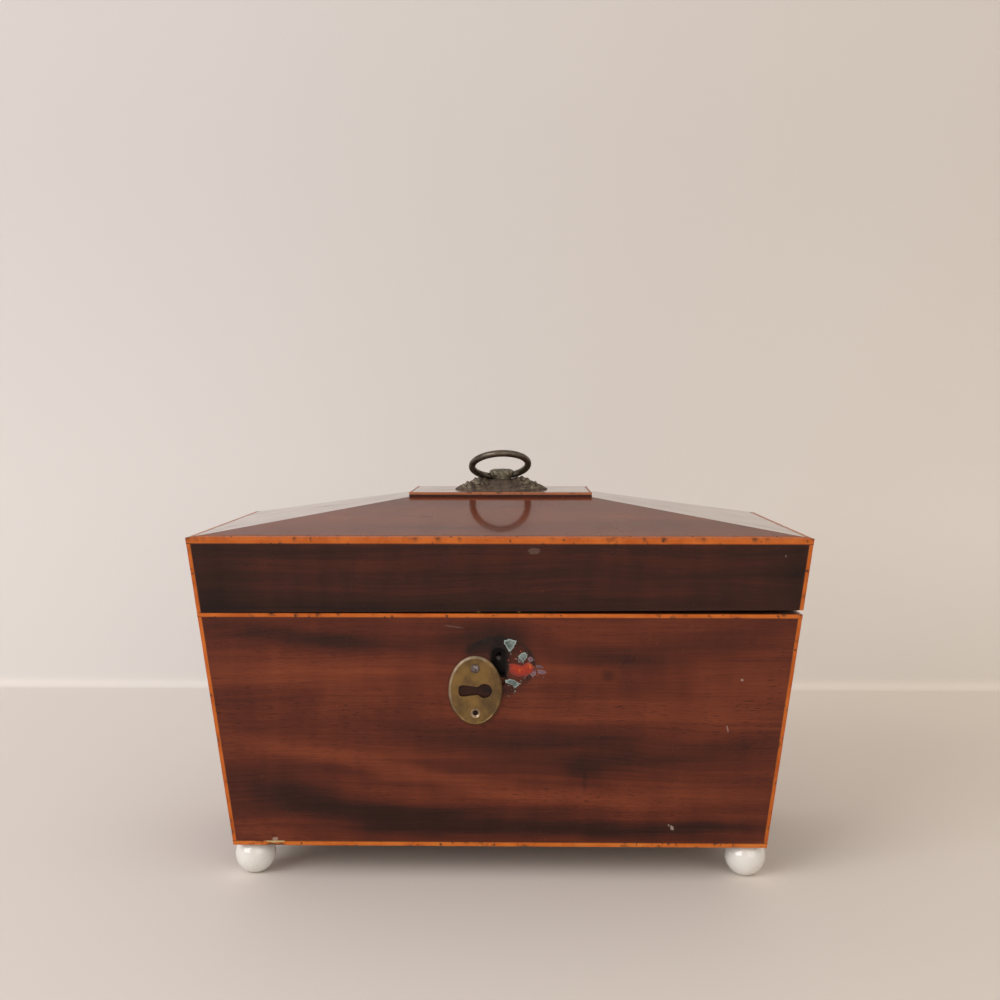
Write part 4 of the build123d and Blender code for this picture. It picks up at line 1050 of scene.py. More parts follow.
@dataclass
class Stringing:
    """All the boxwood strings, each in the place of its CAD solid."""

    outside: Outside
    corner: float = 2.2 * MM
    body_rim: float = 2.1 * MM
    base: float = 2.5 * MM
    rim_height: float = 3.0 * MM
    rim_width: float = 3.4 * MM
    plateau: float = 1.4 * MM
    joint: float = 0.05 * MM
    fine_round: float = 0.22 * MM
    bevel: float = math.tan(math.radians(50.5))
    gaps: dict[tuple[int, int], float] = field(default_factory=lambda: {
        (-1, -1): 0.25 * MM, (1, -1): 2.2 * MM, (-1, 1): 0.4 * MM, (1, 1): 0.4 * MM})

    def __post_init__(self) -> None:
        """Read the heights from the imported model."""
        self.base_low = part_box("base_board")[0].z
        self.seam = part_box("front_board")[1].z
        self.plateau_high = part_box("plateau_panel")[1]
        self.slope_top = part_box("lid_top_board")[1].z
        self.rim = self.outside.rim_height
        _, self.hinge_y, self.hinge_z = joint("lid_hinge")["pos_m"]

    @staticmethod
    def straight(start: Sequence[Vector], end: Sequence[Vector], seed: int, **more: object) -> Bar:
        """A bar between two four-cornered ends.

        Args:
            start: First joint, arris, second joint and hidden corner at the start.
            end: The same at the end.
            seed: Chooses its wear.
            **more: Other values of the bar.

        Returns:
            The bar.
        """
        def section(share: float) -> Cut:
            """The corners at a share of the length."""
            first, arris, second, hidden = (a.lerp(b, share) for a, b in zip(start, end))
            return [first], arris, second, hidden

        return Bar(section, (end[1] - start[1]).length, seed, **more)

    @staticmethod
    def square(arris: float, low: float, width: float) -> tuple[Spot, ...]:
        """Height and inset of a level string's joint, arris, second joint and hidden corner."""
        return (arris, width), (arris, 0.0), (low, 0.0), (low, width)

    def corner_end(self, side_x: int, side_y: int, heights: Heights) -> list[Vector]:
        """Corners of an upright string at one end.

        Args:
            side_x: -1 on the left and 1 on the right.
            side_y: -1 at the front and 1 at the back.
            heights: Height of the outer corners and of the inner ones, seen along Y.

        Returns:
            First joint, arris, second joint and hidden corner.
        """
        found = []
        for inward_x, inward_y in ((1, 0), (0, 0), (0, 1), (1, 1)):
            z = heights[inward_y]
            x = self.outside.half_length(z) - inward_x * self.corner
            y = self.outside.half_depth(z) - inward_y * self.corner
            found.append(Vector((side_x * x, side_y * y, z)))
        return found

    def bevelled(self, z: float, up: int) -> Heights:
        """Heights of a back corner's outer and inner edges where the seam's groove cuts it.

        Args:
            z: The height without the groove.
            up: 1 above the hinge axis and -1 below it.

        Returns:
            Outer and inner height.
        """
        outer_y = self.outside.half_depth(z)
        cuts = [self.hinge_z + up * (y - self.hinge_y) * self.bevel
                for y in (outer_y, outer_y - self.corner)]
        return tuple(max(z, cut) if up > 0 else min(z, cut) for cut in cuts)

    def corners(self, low: Callable[[int, int], Heights], high: Callable[[int, int], Heights],
                seed: int) -> Shape:
        """Four upright strings.

        Args:
            low: Heights of a corner's lower end.
            high: Heights of its upper end.
            seed: Chooses the wear.

        Returns:
            The shape.
        """
        shape = Shape()
        for number, (side_x, side_y) in enumerate(((-1, -1), (1, -1), (-1, 1), (1, 1))):
            start = self.corner_end(side_x, side_y, low(side_x, side_y))
            end = self.corner_end(side_x, side_y, high(side_x, side_y))
            self.straight(start, end, seed + number).add_to(shape)
        return shape

    def ledge(self, z_arris: float, z_joint: float, width: float, back: float, seed: int,
              front_dents: tuple[Dent, ...] = ()) -> Shape:
        """Strings along the front and both ends at one level of the body.

        Args:
            z_arris: Height of the arris.
            z_joint: Height of the joint on the upright face.
            width: Width on the level face.
            back: How far from the back the end strings stop.
            seed: Chooses the wear.
            front_dents: Dents at chosen places of the front string.

        Returns:
            The shape.
        """
        out, square = self.outside, self.square(z_arris, z_joint, width)
        front = [[Vector((side * out.half_length(z), -out.half_depth(z) + inward, z))
                  for z, inward in square] for side in SIDES]
        shape = Shape()
        self.straight(*front, seed, dents=front_dents).add_to(shape)
        for number, side in enumerate(SIDES, 1):
            rows = [(side * (out.half_length(z) - inward), out.half_depth(z), z)
                    for z, inward in square]
            near = [Vector((x, -half + width + self.joint, z)) for x, half, z in rows]
            far = [Vector((x, half - back, z)) for x, half, z in rows]
            self.straight(near, far, seed + number).add_to(shape)
        return shape

    def lid_rim(self, seed: int) -> Shape:
        """The four strings on the lid's rim, which follow both slopes.

        Args:
            seed: Chooses the wear.

        Returns:
            The shape.
        """
        out, top, width = self.outside, self.plateau_high, self.rim_width
        half_x, half_y = out.rim_half_length, out.rim_half_depth
        rise_x = (self.slope_top - self.rim) / (half_x - top.x)
        rise_y = (self.slope_top - self.rim) / (half_y - top.y)
        low = self.rim - self.rim_height
        shape = Shape()
        for number, side in enumerate(SIDES):
            def section(share: float, side: int = side) -> Cut:
                """Corners across the front or back string, with the hip where it crosses.

                Args:
                    share: Share of the length.
                    side: -1 at the front and 1 at the back.

                Returns:
                    The first face's points, arris, second joint and hidden corner.
                """
                x = half_x * (2 * share - 1)
                hip = min((half_x - abs(x)) * rise_x / rise_y, width)
                height = self.rim + hip * rise_y
                lower_x = math.copysign(min(abs(x), out.half_length(low)), x)
                inner_y, hip_y = side * (half_y - width), side * (half_y - hip * 0.98)
                return ([Vector((x, inner_y, height)), Vector((x, hip_y, height))],
                        Vector((x, side * half_y, self.rim)),
                        Vector((lower_x, side * out.half_depth(low), low)),
                        Vector((lower_x, inner_y, low)))

            dents = ((0.0, 0.9 * MM, 2.0 * MM), (1.0, 0.4 * MM, 1.5 * MM)) if side < 0 else ()
            Bar(section, 2 * half_x, seed + number, dents).add_to(shape)
        for number, side in enumerate(SIDES, 2):
            inner_x, low_x = side * (half_x - width), side * out.half_length(low)
            square = ((inner_x, self.rim + width * rise_x), (side * half_x, self.rim),
                      (low_x, low), (inner_x, low))
            ends = [[Vector((x, place * (half_y - width - self.joint), z)) for x, z in square]
                    for place in SIDES]
            self.straight(*ends, seed + number).add_to(shape)
        return shape

    def plateau_frame(self, seed: int) -> Shape:
        """The four strings round the raised panel.

        Args:
            seed: Chooses the wear.

        Returns:
            The shape.
        """
        top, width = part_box("plateau_strings")[1], self.plateau
        square = self.square(top.z, top.z - width, width)
        bars = [[[Vector((place * top.x, side * (top.y - inward), z)) for z, inward in square]
                 for place in SIDES] for side in SIDES]
        bars += [[[Vector((side * (top.x - inward), place * (top.y - width - self.joint), z))
                   for z, inward in square] for place in SIDES] for side in SIDES]
        shape = Shape()
        for number, ends in enumerate(bars):
            self.straight(*ends, seed + number, arris_round=self.fine_round).add_to(shape)
        return shape

    def build(self) -> None:
        """Make and place every string."""
        base_chip = Patch(-113.7, 20.6, 5.2, 1.5)
        plain = Boxwood().material()
        chipped = Boxwood("boxwood_base_string", base_chip, 0.10).material()
        dulled = Boxwood("raised_panel_string", dull=0.6).material()
        body_low, rim_low = self.base_low + self.base, self.seam - self.body_rim
        lid_high = self.rim - self.rim_height
        share = 0.5 + base_chip.x * MM / (2 * self.outside.half_length(self.base_low))
        chip = ((share - 0.006, 1.2 * MM, 2.2 * MM), (share + 0.012, 0.9 * MM, 1.4 * MM))

        def body_top(_: int, side_y: int) -> Heights:
            """Upper heights of a body corner string."""
            return (rim_low, rim_low) if side_y < 0 else self.bevelled(self.seam, -1)

        def lid_bottom(side_x: int, side_y: int) -> Heights:
            """Lower heights of a lid corner string."""
            low = self.seam + self.gaps[side_x, side_y]
            return (low, low) if side_y < 0 else self.bevelled(low, 1)

        uprights = self.corners(lambda *_: (body_low, body_low), body_top, 11)
        rim = self.ledge(self.seam, rim_low, self.body_rim, self.corner + self.joint, 21)
        base = self.ledge(self.base_low, body_low, self.base, 0.0, 31, chip)
        lid = self.corners(lid_bottom, lambda *_: (lid_high, lid_high), 41)
        for shape, name, finish, part, node in (
                (uprights, "body_corner_stringing", plain, Part.BODY, "body_corner_strings"),
                (rim, "body_rim_stringing", plain, Part.BODY, "body_rim_strings"),
                (base, "base_edge_stringing", chipped, Part.BODY, "base_edge_strings"),
                (lid, "lid_corner_stringing", plain, Part.LID, "lid_corner_strings"),
                (self.lid_rim(51), "lid_rim_stringing", plain, Part.LID, "lid_rim_strings"),
                (self.plateau_frame(61), "raised_panel_stringing", dulled, Part.LID,
                 "plateau_strings")):
            settle(shape.piece(name, finish), part, Slot.BOXWOOD, node)


# ---- ring handle


@dataclass
class Leaf:
    """An acanthus leaf of the mount, from its middle outwards; lengths in millimetres."""

    angle: float
    reach: float
    half_width: float
    lift: float
    lobes: int
    fall: float = 0.45

    def height(self, x: float, y: float) -> float:
        """Height of the leaf at a point, or below zero outside it.

        Args:
            x: Along X from the middle.
            y: Along Y from the middle.

        Returns:
            The height in millimetres.
        """
        turn = math.radians(self.angle)
        along = (x * math.cos(turn) + y * math.sin(turn)) / self.reach
        aside = -x * math.sin(turn) + y * math.cos(turn)
        if along <= 0.0 or along >= 1.0:
            return -1.0
        phase = 2 * math.pi * self.lobes * along
        width = self.half_width * math.sin(math.pi * along ** 0.9) ** 0.75
        width *= 1.0 + 0.30 * math.sin(phase)
        if width <= 0.02:
            return -1.0
        share = abs(aside) / width
        if share >= 1.0:
            return -1.0
        body = self.lift * min(1.0, (1.0 - along) / self.fall) ** 0.95
        crown = (1.0 - share ** 2.6) ** 0.55
        rib = 0.55 * math.exp(-(aside / 0.5) ** 2)
        veins = 0.80 * math.sin(phase + 3.4 * share) * (0.42 + share)
        veins *= min(1.0, 2.0 * (1.0 - along) + 0.3)
        return max(0.0, (body + 0.3) * (0.55 + 0.45 * crown) + (rib + veins) * crown)


@dataclass(frozen=True)
class Curl:
    """A curled leaf end that stands up as a knob; lengths in millimetres."""

    x: float
    y: float
    radius: float
    height: float

    def rise(self, x: float, y: float) -> float:
        """Height of the knob at a point, or below zero outside it.

        Args:
            x: Along X from the mount's middle.
            y: Along Y from the mount's middle.

        Returns:
            The height in millimetres.
        """
        room = 1.0 - ((x - self.x) ** 2 + (y - self.y) ** 2) / self.radius ** 2
        if room <= 0.0:
            return -1.0
        groove = 0.22 * math.cos(2.6 * (x - self.x) + 1.9 * (y - self.y))
        return self.height * room ** 0.28 + groove


@dataclass
class RingHandle:
    """The cast mount, its bud with the ring's bore, and the ring.

    The mount's outline and relief are in millimetres.
    """

    side_reach: float = 25.2
    core: float = 4.0
    edge: float = 0.6
    outline_step: float = 0.12
    turns: int = 600
    rows: int = 64
    shell_start: float = 2.0
    shell_depth: float = 12.8
    shell_half: float = 8.8
    shell_spread: float = 5.4
    dome: float = 5.0
    bud_foot: float = 3.4 * MM
    bud_half: Spot = (7.0 * MM, 5.5 * MM)
    bud_turns: int = 168
    bud_rows: int = 72
    bore_steps: int = 10
    bore_turns: int = 48
    ring_turns: int = 160
    wire_turns: int = 28
    crease: float = 60.0
    ring_wire: float = 1.8 * MM
    ring_radius: float = 15.0 * MM
    bore_clearance: float = 0.22 * MM
    ring_wear: float = 0.035
    lean: float = math.radians(26.5)
    roll: float = math.radians(3.8)
    curl_rows: tuple[tuple[float, float, float, float], ...] = (
        (14.2, 3.0, 2.2, 5.5), (16.8, 5.4, 1.6, 4.1), (13.4, 6.4, 1.6, 4.6), (18.6, 2.2, 1.5, 3.8),
        (16.6, 8.8, 1.5, 3.0), (20.8, 1.6, 1.2, 2.7), (19.6, 5.0, 1.1, 2.6), (22.6, 0.9, 0.9, 1.8))

    def __post_init__(self) -> None:
        """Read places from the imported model, and lay out the same leaves and curls on each side."""
        self.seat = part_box("handle_rosette")[0].z
        self.pivot = Vector(joint("ring_swing")["pos_m"])
        self.axis = Vector((math.cos(self.roll), 0.0, math.sin(self.roll)))
        self.up = Vector((-math.sin(self.roll), 0.0, math.cos(self.roll)))
        self.leaves, self.curls = [], []
        for side, turn in ((-1, 180), (1, 0)):
            self.leaves.append(Leaf(turn, self.side_reach, 6.2, 4.1, 7, 0.50))
            self.curls.append(Curl(side * 11.2, 0.0, 2.9, 6.5))
            for back in SIDES:
                self.leaves.append(Leaf(turn + side * back * 29, 21.6, 3.6, 3.7, 5))
                self.leaves.append(Leaf(turn + side * back * 14, 20.8, 3.2, 4.7, 5, 0.4))
                self.curls += [Curl(side * out, back * aside, radius, height)
                               for out, aside, radius, height in self.curl_rows]

    def shell(self, x: float, y: float) -> float:
        """Height of the hollow shells at the front and back, or below zero outside them.

        Args:
            x: Along X from the mount's middle, in millimetres.
            y: Along Y from it.

        Returns:
            The height in millimetres.
        """
        out = (abs(y) - self.shell_start) / self.shell_depth
        if out >= 1.0:
            return -1.0
        out = max(0.0, out)
        aside = abs(x) / (self.shell_half + self.shell_spread * out ** 0.8)
        if aside >= 1.0 + 0.03 * math.sin(out * 40.0):
            return -1.0
        fall = 1.0 - out * out * (3.0 - 2.0 * out)
        hollow = 0.4 + 4.6 * fall - 0.9 * math.exp(-(x / 6.0) ** 2) * math.sin(math.pi * out) ** 2
        border = 2.0 * math.exp(-((aside - 0.84) / 0.11) ** 2)
        border *= 0.84 + 0.16 * math.sin(out * 22.0 + aside * 9.0)
        arch = 0.55 * math.exp(-((out - 0.30 - 0.22 * aside ** 2) / 0.06) ** 2)
        arch *= max(0.0, 1.0 - aside) ** 0.5
        lip = 0.8 * math.exp(-((out - 0.91) / 0.05) ** 2) * (0.70 + 0.30 * math.cos(x * 2.7))
        return hollow + border + arch + lip

    def relief(self, x: float, y: float) -> float:
        """Height of the mount over its edge, or below zero outside it.

        Args:
            x: Along X from the mount's middle, in millimetres.
            y: Along Y from it.

        Returns:
            The height in millimetres.
        """
        radius = math.hypot(x, y)
        best = max(leaf.height(x, y) for leaf in self.leaves)
        best = max(best, self.shell(x, y), max(curl.rise(x, y) for curl in self.curls))
        if radius < 13.0:
            best = max(best, self.dome - 0.3 * max(0.0, radius - 7.0) ** 1.5)
        reach = self.ring_radius / MM
        if abs(x) < reach - 1.0:
            sag = reach - math.sqrt(reach ** 2 - x * x)
            if abs(y) < sag * math.cos(self.lean) + 2.3:
                gap = (self.pivot.z - self.seat - self.ring_wire) / MM - self.edge - 0.35
                best = min(best, gap + sag * math.sin(self.lean) + x * math.tan(self.roll))
        return best

    def outline(self, angle: float) -> float:
        """How far the mount reaches.

        Args:
            angle: The direction, in radians from X.

        Returns:
            The reach in millimetres.
        """
        reach, x, y = self.side_reach + 1.0, math.cos(angle), math.sin(angle)
        while reach > self.core and self.relief(reach * x, reach * y) < 0.0:
            reach -= self.outline_step
        return reach

    def mount(self) -> Shape:
        """The mount with its leaves and shells.

        Returns:
            The shape.
        """
        angles = spokes(self.turns)
        edges = [self.outline(angle) for angle in angles]
        loops, relief = [], []
        for row in range(self.rows + 1):
            share = 1.0 - (1.0 - row / self.rows) ** 1.15
            loop = []
            for angle, edge in zip(angles, edges):
                reach = max(0.02, edge * share * 0.995)
                x, y = reach * math.cos(angle), reach * math.sin(angle)
                height = max(0.0, self.relief(x, y)) * (1.0 - share ** 14)
                grain = 0.16 * noise.noise(Vector((x * 1.3, y * 1.3, 4.0)))
                grain += 0.08 * noise.noise(Vector((x * 3.1, y * 3.1, 2.0)))
                loop.append(Vector((x * MM, y * MM, self.seat + (self.edge + height + grain) * MM)))
                slope = height - max(0.0, self.relief(x * 1.03 + 0.25, y * 1.03 - 0.25))
                # Painted shade: the middle of each shell is pushed towards the darker bloom colour,
                # as shade in its hollow.
                painted_hollow_shade = math.exp(-(x / 6.5) ** 2 - ((abs(y) - 8.5) / 3.2) ** 2)
                speck = 0.25 * noise.noise(Vector((x * 3.0, y * 3.0, 9.0)))
                relief.append(min(1.0, 0.42 + 0.9 * slope + speck - 0.7 * painted_hollow_shade))
            loops.append(loop)
        for drop in (0.5, 0.0):
            z = self.seat + self.edge * drop * MM
            loops.append([Vector((edge * math.cos(angle) * MM, edge * math.sin(angle) * MM, z))
                          for angle, edge in zip(angles, edges)])
            relief.extend([0.1] * self.turns)
        return Shape.of(loops, relief=relief)

    def bud(self) -> Shape:
        """The leafy bud on top, before its bore is cut.

        Returns:
            The shape.
        """
        low, high = self.seat + self.bud_foot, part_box("handle_post")[1].z
        centre = Vector((0.15 * MM, 0.0, (low + high) / 2))
        half = Vector((*self.bud_half, (high - low) / 2))
        relief, loops = [], []
        for row in range(1, self.bud_rows):
            tilt = math.pi * row / self.bud_rows
            side = math.sin(tilt)
            tier = 0.5 * math.pi if tilt < 0.95 else 0.0
            loop = []
            for angle in spokes(self.bud_turns):
                direction = Vector((side * math.cos(angle), side * math.sin(angle), math.cos(tilt)))
                square = sum(abs(part) ** 3.6 for part in direction) ** (1 / 3.6)
                lobe = abs(math.sin(7 * angle + 0.7 * math.sin(2.4 * tilt) + tier)) ** 0.6 - 0.72
                fold = 0.095 * lobe * side
                curl = 0.060 * math.exp(-((tilt - 1.05) / 0.16) ** 2) * (0.6 + lobe)
                knob = 0.035 * noise.noise(direction * 4.2) + 0.016 * noise.noise(direction * 12.0)
                waist = 0.30 * math.exp(-((tilt - 2.05) / 0.50) ** 2)
                waist *= 1.2 if direction.x < 0 else 0.8
                raised = fold + curl + knob
                scale = (0.965 - waist * abs(direction.x) + min(raised, 0.035)) / square
                loop.append(centre + Vector(tuple(d * h for d, h in zip(direction, half))) * scale)
                relief.append(0.52 + 3.6 * raised + 0.16 * direction.z)
            loops.append(loop)
        return Shape.of(loops, relief=relief)

    def bore(self) -> Shape:
        """The trumpet-mouthed hole that the ring swings in.

        Returns:
            The shape.
        """
        reach = self.ring_radius - self.ring_wire - self.bore_clearance
        forward = self.axis.cross(self.up)
        loops = []
        for k in range(-self.bore_steps, self.bore_steps + 1):
            place = k * 0.9 * MM
            radius = self.ring_radius - math.sqrt(reach ** 2 - place ** 2)
            loops.append([self.pivot + self.axis * place
                          + (self.up * math.cos(turn) + forward * math.sin(turn)) * radius
                          for turn in spokes(self.bore_turns)])
        return Shape.of(loops)

    def ring(self) -> Shape:
        """The ring, whose wire is a little worn and uneven.

        Returns:
            The shape.
        """
        away = Vector((0.0, -math.cos(self.lean), 0.0)) + self.up * math.sin(self.lean)
        normal = away.cross(self.axis).normalized()
        centre = self.pivot + away * self.ring_radius
        loops, relief = [], []
        for angle in spokes(self.ring_turns):
            direction = self.axis * math.sin(angle) - away * math.cos(angle)
            loop = []
            for n, turn in enumerate(spokes(self.wire_turns)):
                uneven = noise.noise(Vector((math.cos(angle) * 3, math.sin(angle) * 3, n * 0.15)))
                size = self.ring_wire * (1.0 + self.ring_wear * min(0.0, uneven))
                loop.append(centre + direction * (self.ring_radius + size * math.cos(turn))
                            + normal * size * math.sin(turn))
                relief.append(0.5 + 0.4 * uneven)
            loops.append(loop)
        return Shape.of(loops, closed=True, relief=relief)

    def build(self) -> None:
        """Make and place the mount, bud and ring."""
        cast = Patina("cast_bronze", (0.130, 0.088, 0.060), (0.060, 0.041, 0.031),
                      (0.066, 0.049, 0.038), (0.235, 0.195, 0.135), 0.62, (0.34, 0.52), 260.0,
                      0.00012, relief=True).material()
        leafy = Patina("bud_bronze", (0.150, 0.125, 0.086), (0.080, 0.062, 0.042),
                       (0.085, 0.072, 0.048), (0.260, 0.240, 0.165), 0.62, (0.34, 0.52), 300.0,
                       0.00012, relief=True).material()
        drawn = Patina("ring_bronze", (0.142, 0.118, 0.090), (0.068, 0.052, 0.040),
                       (0.100, 0.090, 0.070), (0.25, 0.205, 0.155), 0.85, (0.28, 0.44), 190.0,
                       0.00008, relief=True).material()
        mount = self.mount().piece("handle_leaf_mount", cast, self.crease)
        bud = self.bud().piece("handle_bud", leafy, self.crease)
        self.cut(bud, self.bore().piece("bore_cutter", leafy))
        ring = self.ring().piece("handle_pull_ring", drawn)
        settle(mount, Part.LID, Slot.BRONZE, "handle_rosette")
        settle(bud, Part.LID, Slot.BRONZE, "handle_post")
        settle(ring, Part.RING, Slot.BRONZE, "handle_ring")

    @staticmethod
    def cut(piece: bpy.types.Object, cutter: bpy.types.Object) -> None:
        """Cut one mesh out of another and drop the cutter.

        Args:
            piece: What is cut.
            cutter: What cuts it.
        """
        step = piece.modifiers.new("bore", "BOOLEAN")
        step.operation, step.solver, step.object = "DIFFERENCE", "EXACT", cutter
        graph = bpy.context.evaluated_depsgraph_get()
        mesh = bpy.data.meshes.new_from_object(piece.evaluated_get(graph))
        piece.modifiers.clear()
        piece.data = mesh
        bpy.data.objects.remove(cutter)
        mesh.set_sharp_from_angle(angle=math.radians(45))


# ---- keyhole plate and what is stuck round it


@dataclass
class KeyholePlate:
    """The loose oval plate, hung from its one screw.

    The slot's edge is in millimetres and the eye's turn in degrees.
    """

    long_half: float = 17.8 * MM
    short_half: float = 13.35 * MM
    rim: float = 1.25 * MM
    thickness: float = 1.2 * MM
    standoff: float = 0.3 * MM
    pin_from_middle: float = 11.55 * MM
    hole_radius: float = 1.3 * MM
    sink_radius: float = 2.25 * MM
    edge_round: float = 0.22 * MM
    eye_radius: float = 3.65 * MM
    eye_place: float = 4.55 * MM
    eye_turn: float = 142
    slot_edge: Spots = ((0.55, 2.05), (-1.5, 2.35), (-4.0, 2.75), (-6.2, 2.95), (-7.3, 2.75),
                        (-8.0, 2.1), (-8.25, 1.2), (-8.3, 0.0))
    crease: float = 30.0
    hole_turns: int = 40
    step: int = 160

    def __post_init__(self) -> None:
        """Read the plate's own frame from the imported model."""
        swing = joint("escutcheon_swing")
        outward = Vector(swing["axis"]).normalized()
        up = Vector((1.0, 0.0, 0.0)).cross(-outward).normalized()
        if up.z < 0:
            up = -up
        origin = Vector(swing["pos_m"]) - up * self.pin_from_middle
        self.place = Matrix.Translation(origin) @ Matrix((
            (1.0, up.x, outward.x, 0.0), (0.0, up.y, outward.y, 0.0), (0.0, up.z, outward.z, 0.0),
            (0.0, 0.0, 0.0, 1.0)))

    def oval(self, inset: float) -> list[Spot]:
        """The plate's outline, drawn in by an inset."""
        across, along = self.short_half - inset, self.long_half - inset
        return [(across * math.cos(angle), along * math.sin(angle)) for angle in spokes(self.step)]

    def circle(self, centre: Spot, radius: float) -> list[Spot]:
        """A round outline."""
        return [(centre[0] + radius * math.cos(angle), centre[1] + radius * math.sin(angle))
                for angle in spokes(self.hole_turns)]

    def keyhole(self) -> list[Spot]:
        """The keyhole's outline: round at the right, waisted, and square-ended at the left.

        Returns:
            Its points.
        """
        turns = [math.radians(-self.eye_turn + 2 * self.eye_turn * k / 32) for k in range(33)]
        eye = [(self.eye_place + self.eye_radius * math.cos(turn), self.eye_radius * math.sin(turn))
               for turn in turns]
        upper = [(x * MM, y * MM) for x, y in self.slot_edge]
        return [*eye, *upper, *((x, -y) for x, y in reversed(upper[:-1]))]

    @staticmethod
    def flat(outlines: Sequence[Sequence[Spot]], low: float, high: float,
             round_edge: float) -> bpy.types.Mesh:
        """A flat sheet with holes, from closed outlines.

        Args:
            outlines: The outer outline and its holes.
            low: Height of its back.
            high: Height of its front.
            round_edge: Size of its rounded edges.

        Returns:
            The mesh.
        """
        curve = bpy.data.curves.new("sheet", "CURVE")
        curve.dimensions, curve.fill_mode = "2D", "BOTH"
        curve.extrude = (high - low) / 2 - round_edge
        curve.bevel_depth, curve.bevel_resolution, curve.offset = round_edge, 3, -round_edge
        for outline in outlines:
            spline = curve.splines.new("POLY")
            spline.points.add(len(outline) - 1)
            for point, (x, y) in zip(spline.points, outline):
                point.co = (x, y, 0.0, 1.0)
            spline.use_cyclic_u = True
        holder = bpy.data.objects.new("sheet", curve)
        bpy.context.scene.collection.objects.link(holder)
        bpy.context.view_layer.update()
        mesh = bpy.data.meshes.new_from_object(holder)
        bpy.data.objects.remove(holder)
        mesh.transform(Matrix.Translation((0.0, 0.0, (low + high) / 2)))
        return mesh

    def moulding(self) -> Shape:
        """The bevelled rim round the plate.

        Returns:
            The shape.
        """
        low, face, rim = self.standoff, self.standoff + self.thickness, self.rim
        profile = ((0.0, low), (0.0, low + 0.45 * MM), (0.12 * MM, low + 0.66 * MM),
                   (0.55 * MM, face - 0.12 * MM), (0.80 * MM, face + 0.10 * MM),
                   (1.05 * MM, face + 0.14 * MM), (rim, face + 0.02 * MM),
                   (rim + 0.15 * MM, face - 0.12 * MM), (rim + 0.15 * MM, low + 0.02 * MM))
        loops, rubbed = [], []
        for angle in spokes(self.step):
            x, y = math.cos(angle), math.sin(angle)
            # Rubbing of the rim, with the noise as uneven wear; the 0.13 * (y - x) term lightens the
            # upper left, a painted highlight where the light falls.
            worn = 0.66 + 0.13 * (y - x) + 0.14 * noise.noise(Vector((x * 5, y * 5, 7.0)))
            rubbed.extend([worn] * len(profile))
            normal = Vector((x / self.short_half, y / self.long_half)).normalized()
            edge = Vector((self.short_half * x, self.long_half * y))
            uneven = 1.0 + 0.10 * noise.noise(Vector((x * 4, y * 4, 1.0)))
            loops.append([(edge - normal * inset * uneven).to_3d() + Vector((0.0, 0.0, height))
                          for inset, height in profile])
        return Shape.of(loops, closed=True, relief=rubbed)

    def build(self) -> None:
        """Make and place the plate."""
        brass = Patina("keyhole_plate_brass", (0.215, 0.125, 0.038), (0.105, 0.060, 0.023),
                       (0.080, 0.048, 0.026), (0.42, 0.32, 0.225), 0.62, (0.28, 0.46), 95.0,
                       0.00009, relief=True).material()
        upper_pin, lower_pin = (0.0, self.pin_from_middle), (0.0, -self.pin_from_middle)
        outlines = [self.oval(self.rim), self.keyhole(), self.circle(upper_pin, self.hole_radius),
                    self.circle(lower_pin, self.sink_radius)]
        low, front = self.standoff, self.standoff + self.thickness
        sheet = self.flat(outlines, low, front, self.edge_round)
        shape = self.moulding()
        shape.add((vertex.co.copy() for vertex in sheet.vertices),
                  (face.vertices for face in sheet.polygons))
        shape.keep("relief", [0.5] * len(sheet.vertices))
        middle, outer, inner = self.sink_radius, self.sink_radius + 0.2 * MM, self.hole_radius
        sink = ((outer, front - 0.10 * MM), (middle, front + 0.06 * MM),
                (middle - 0.2 * MM, front - 0.02 * MM), (inner, front - 0.75 * MM),
                (inner, low + 0.02 * MM), (outer, low + 0.02 * MM))
        collar = Shape.of([[Vector((x, y, height)) for x, y in self.circle(lower_pin, radius)]
                           for radius, height in sink], closed=True)
        shape.add(collar.points, collar.faces)
        shape.keep("relief", [0.80] * len(collar.points))
        shape.points = [self.place @ point for point in shape.points]
        settle(shape.piece("keyhole_plate", brass, self.crease), Part.ESCUTCHEON, Slot.BRASS,
               "escutcheon_plate")


@dataclass(frozen=True)
class Lump:
    """A deposit on the front: its outline in millimetres along X and Z, and its thickness."""

    name: str
    outline: Spots
    thickness: float
    seed: int
    rough: float = 0.25


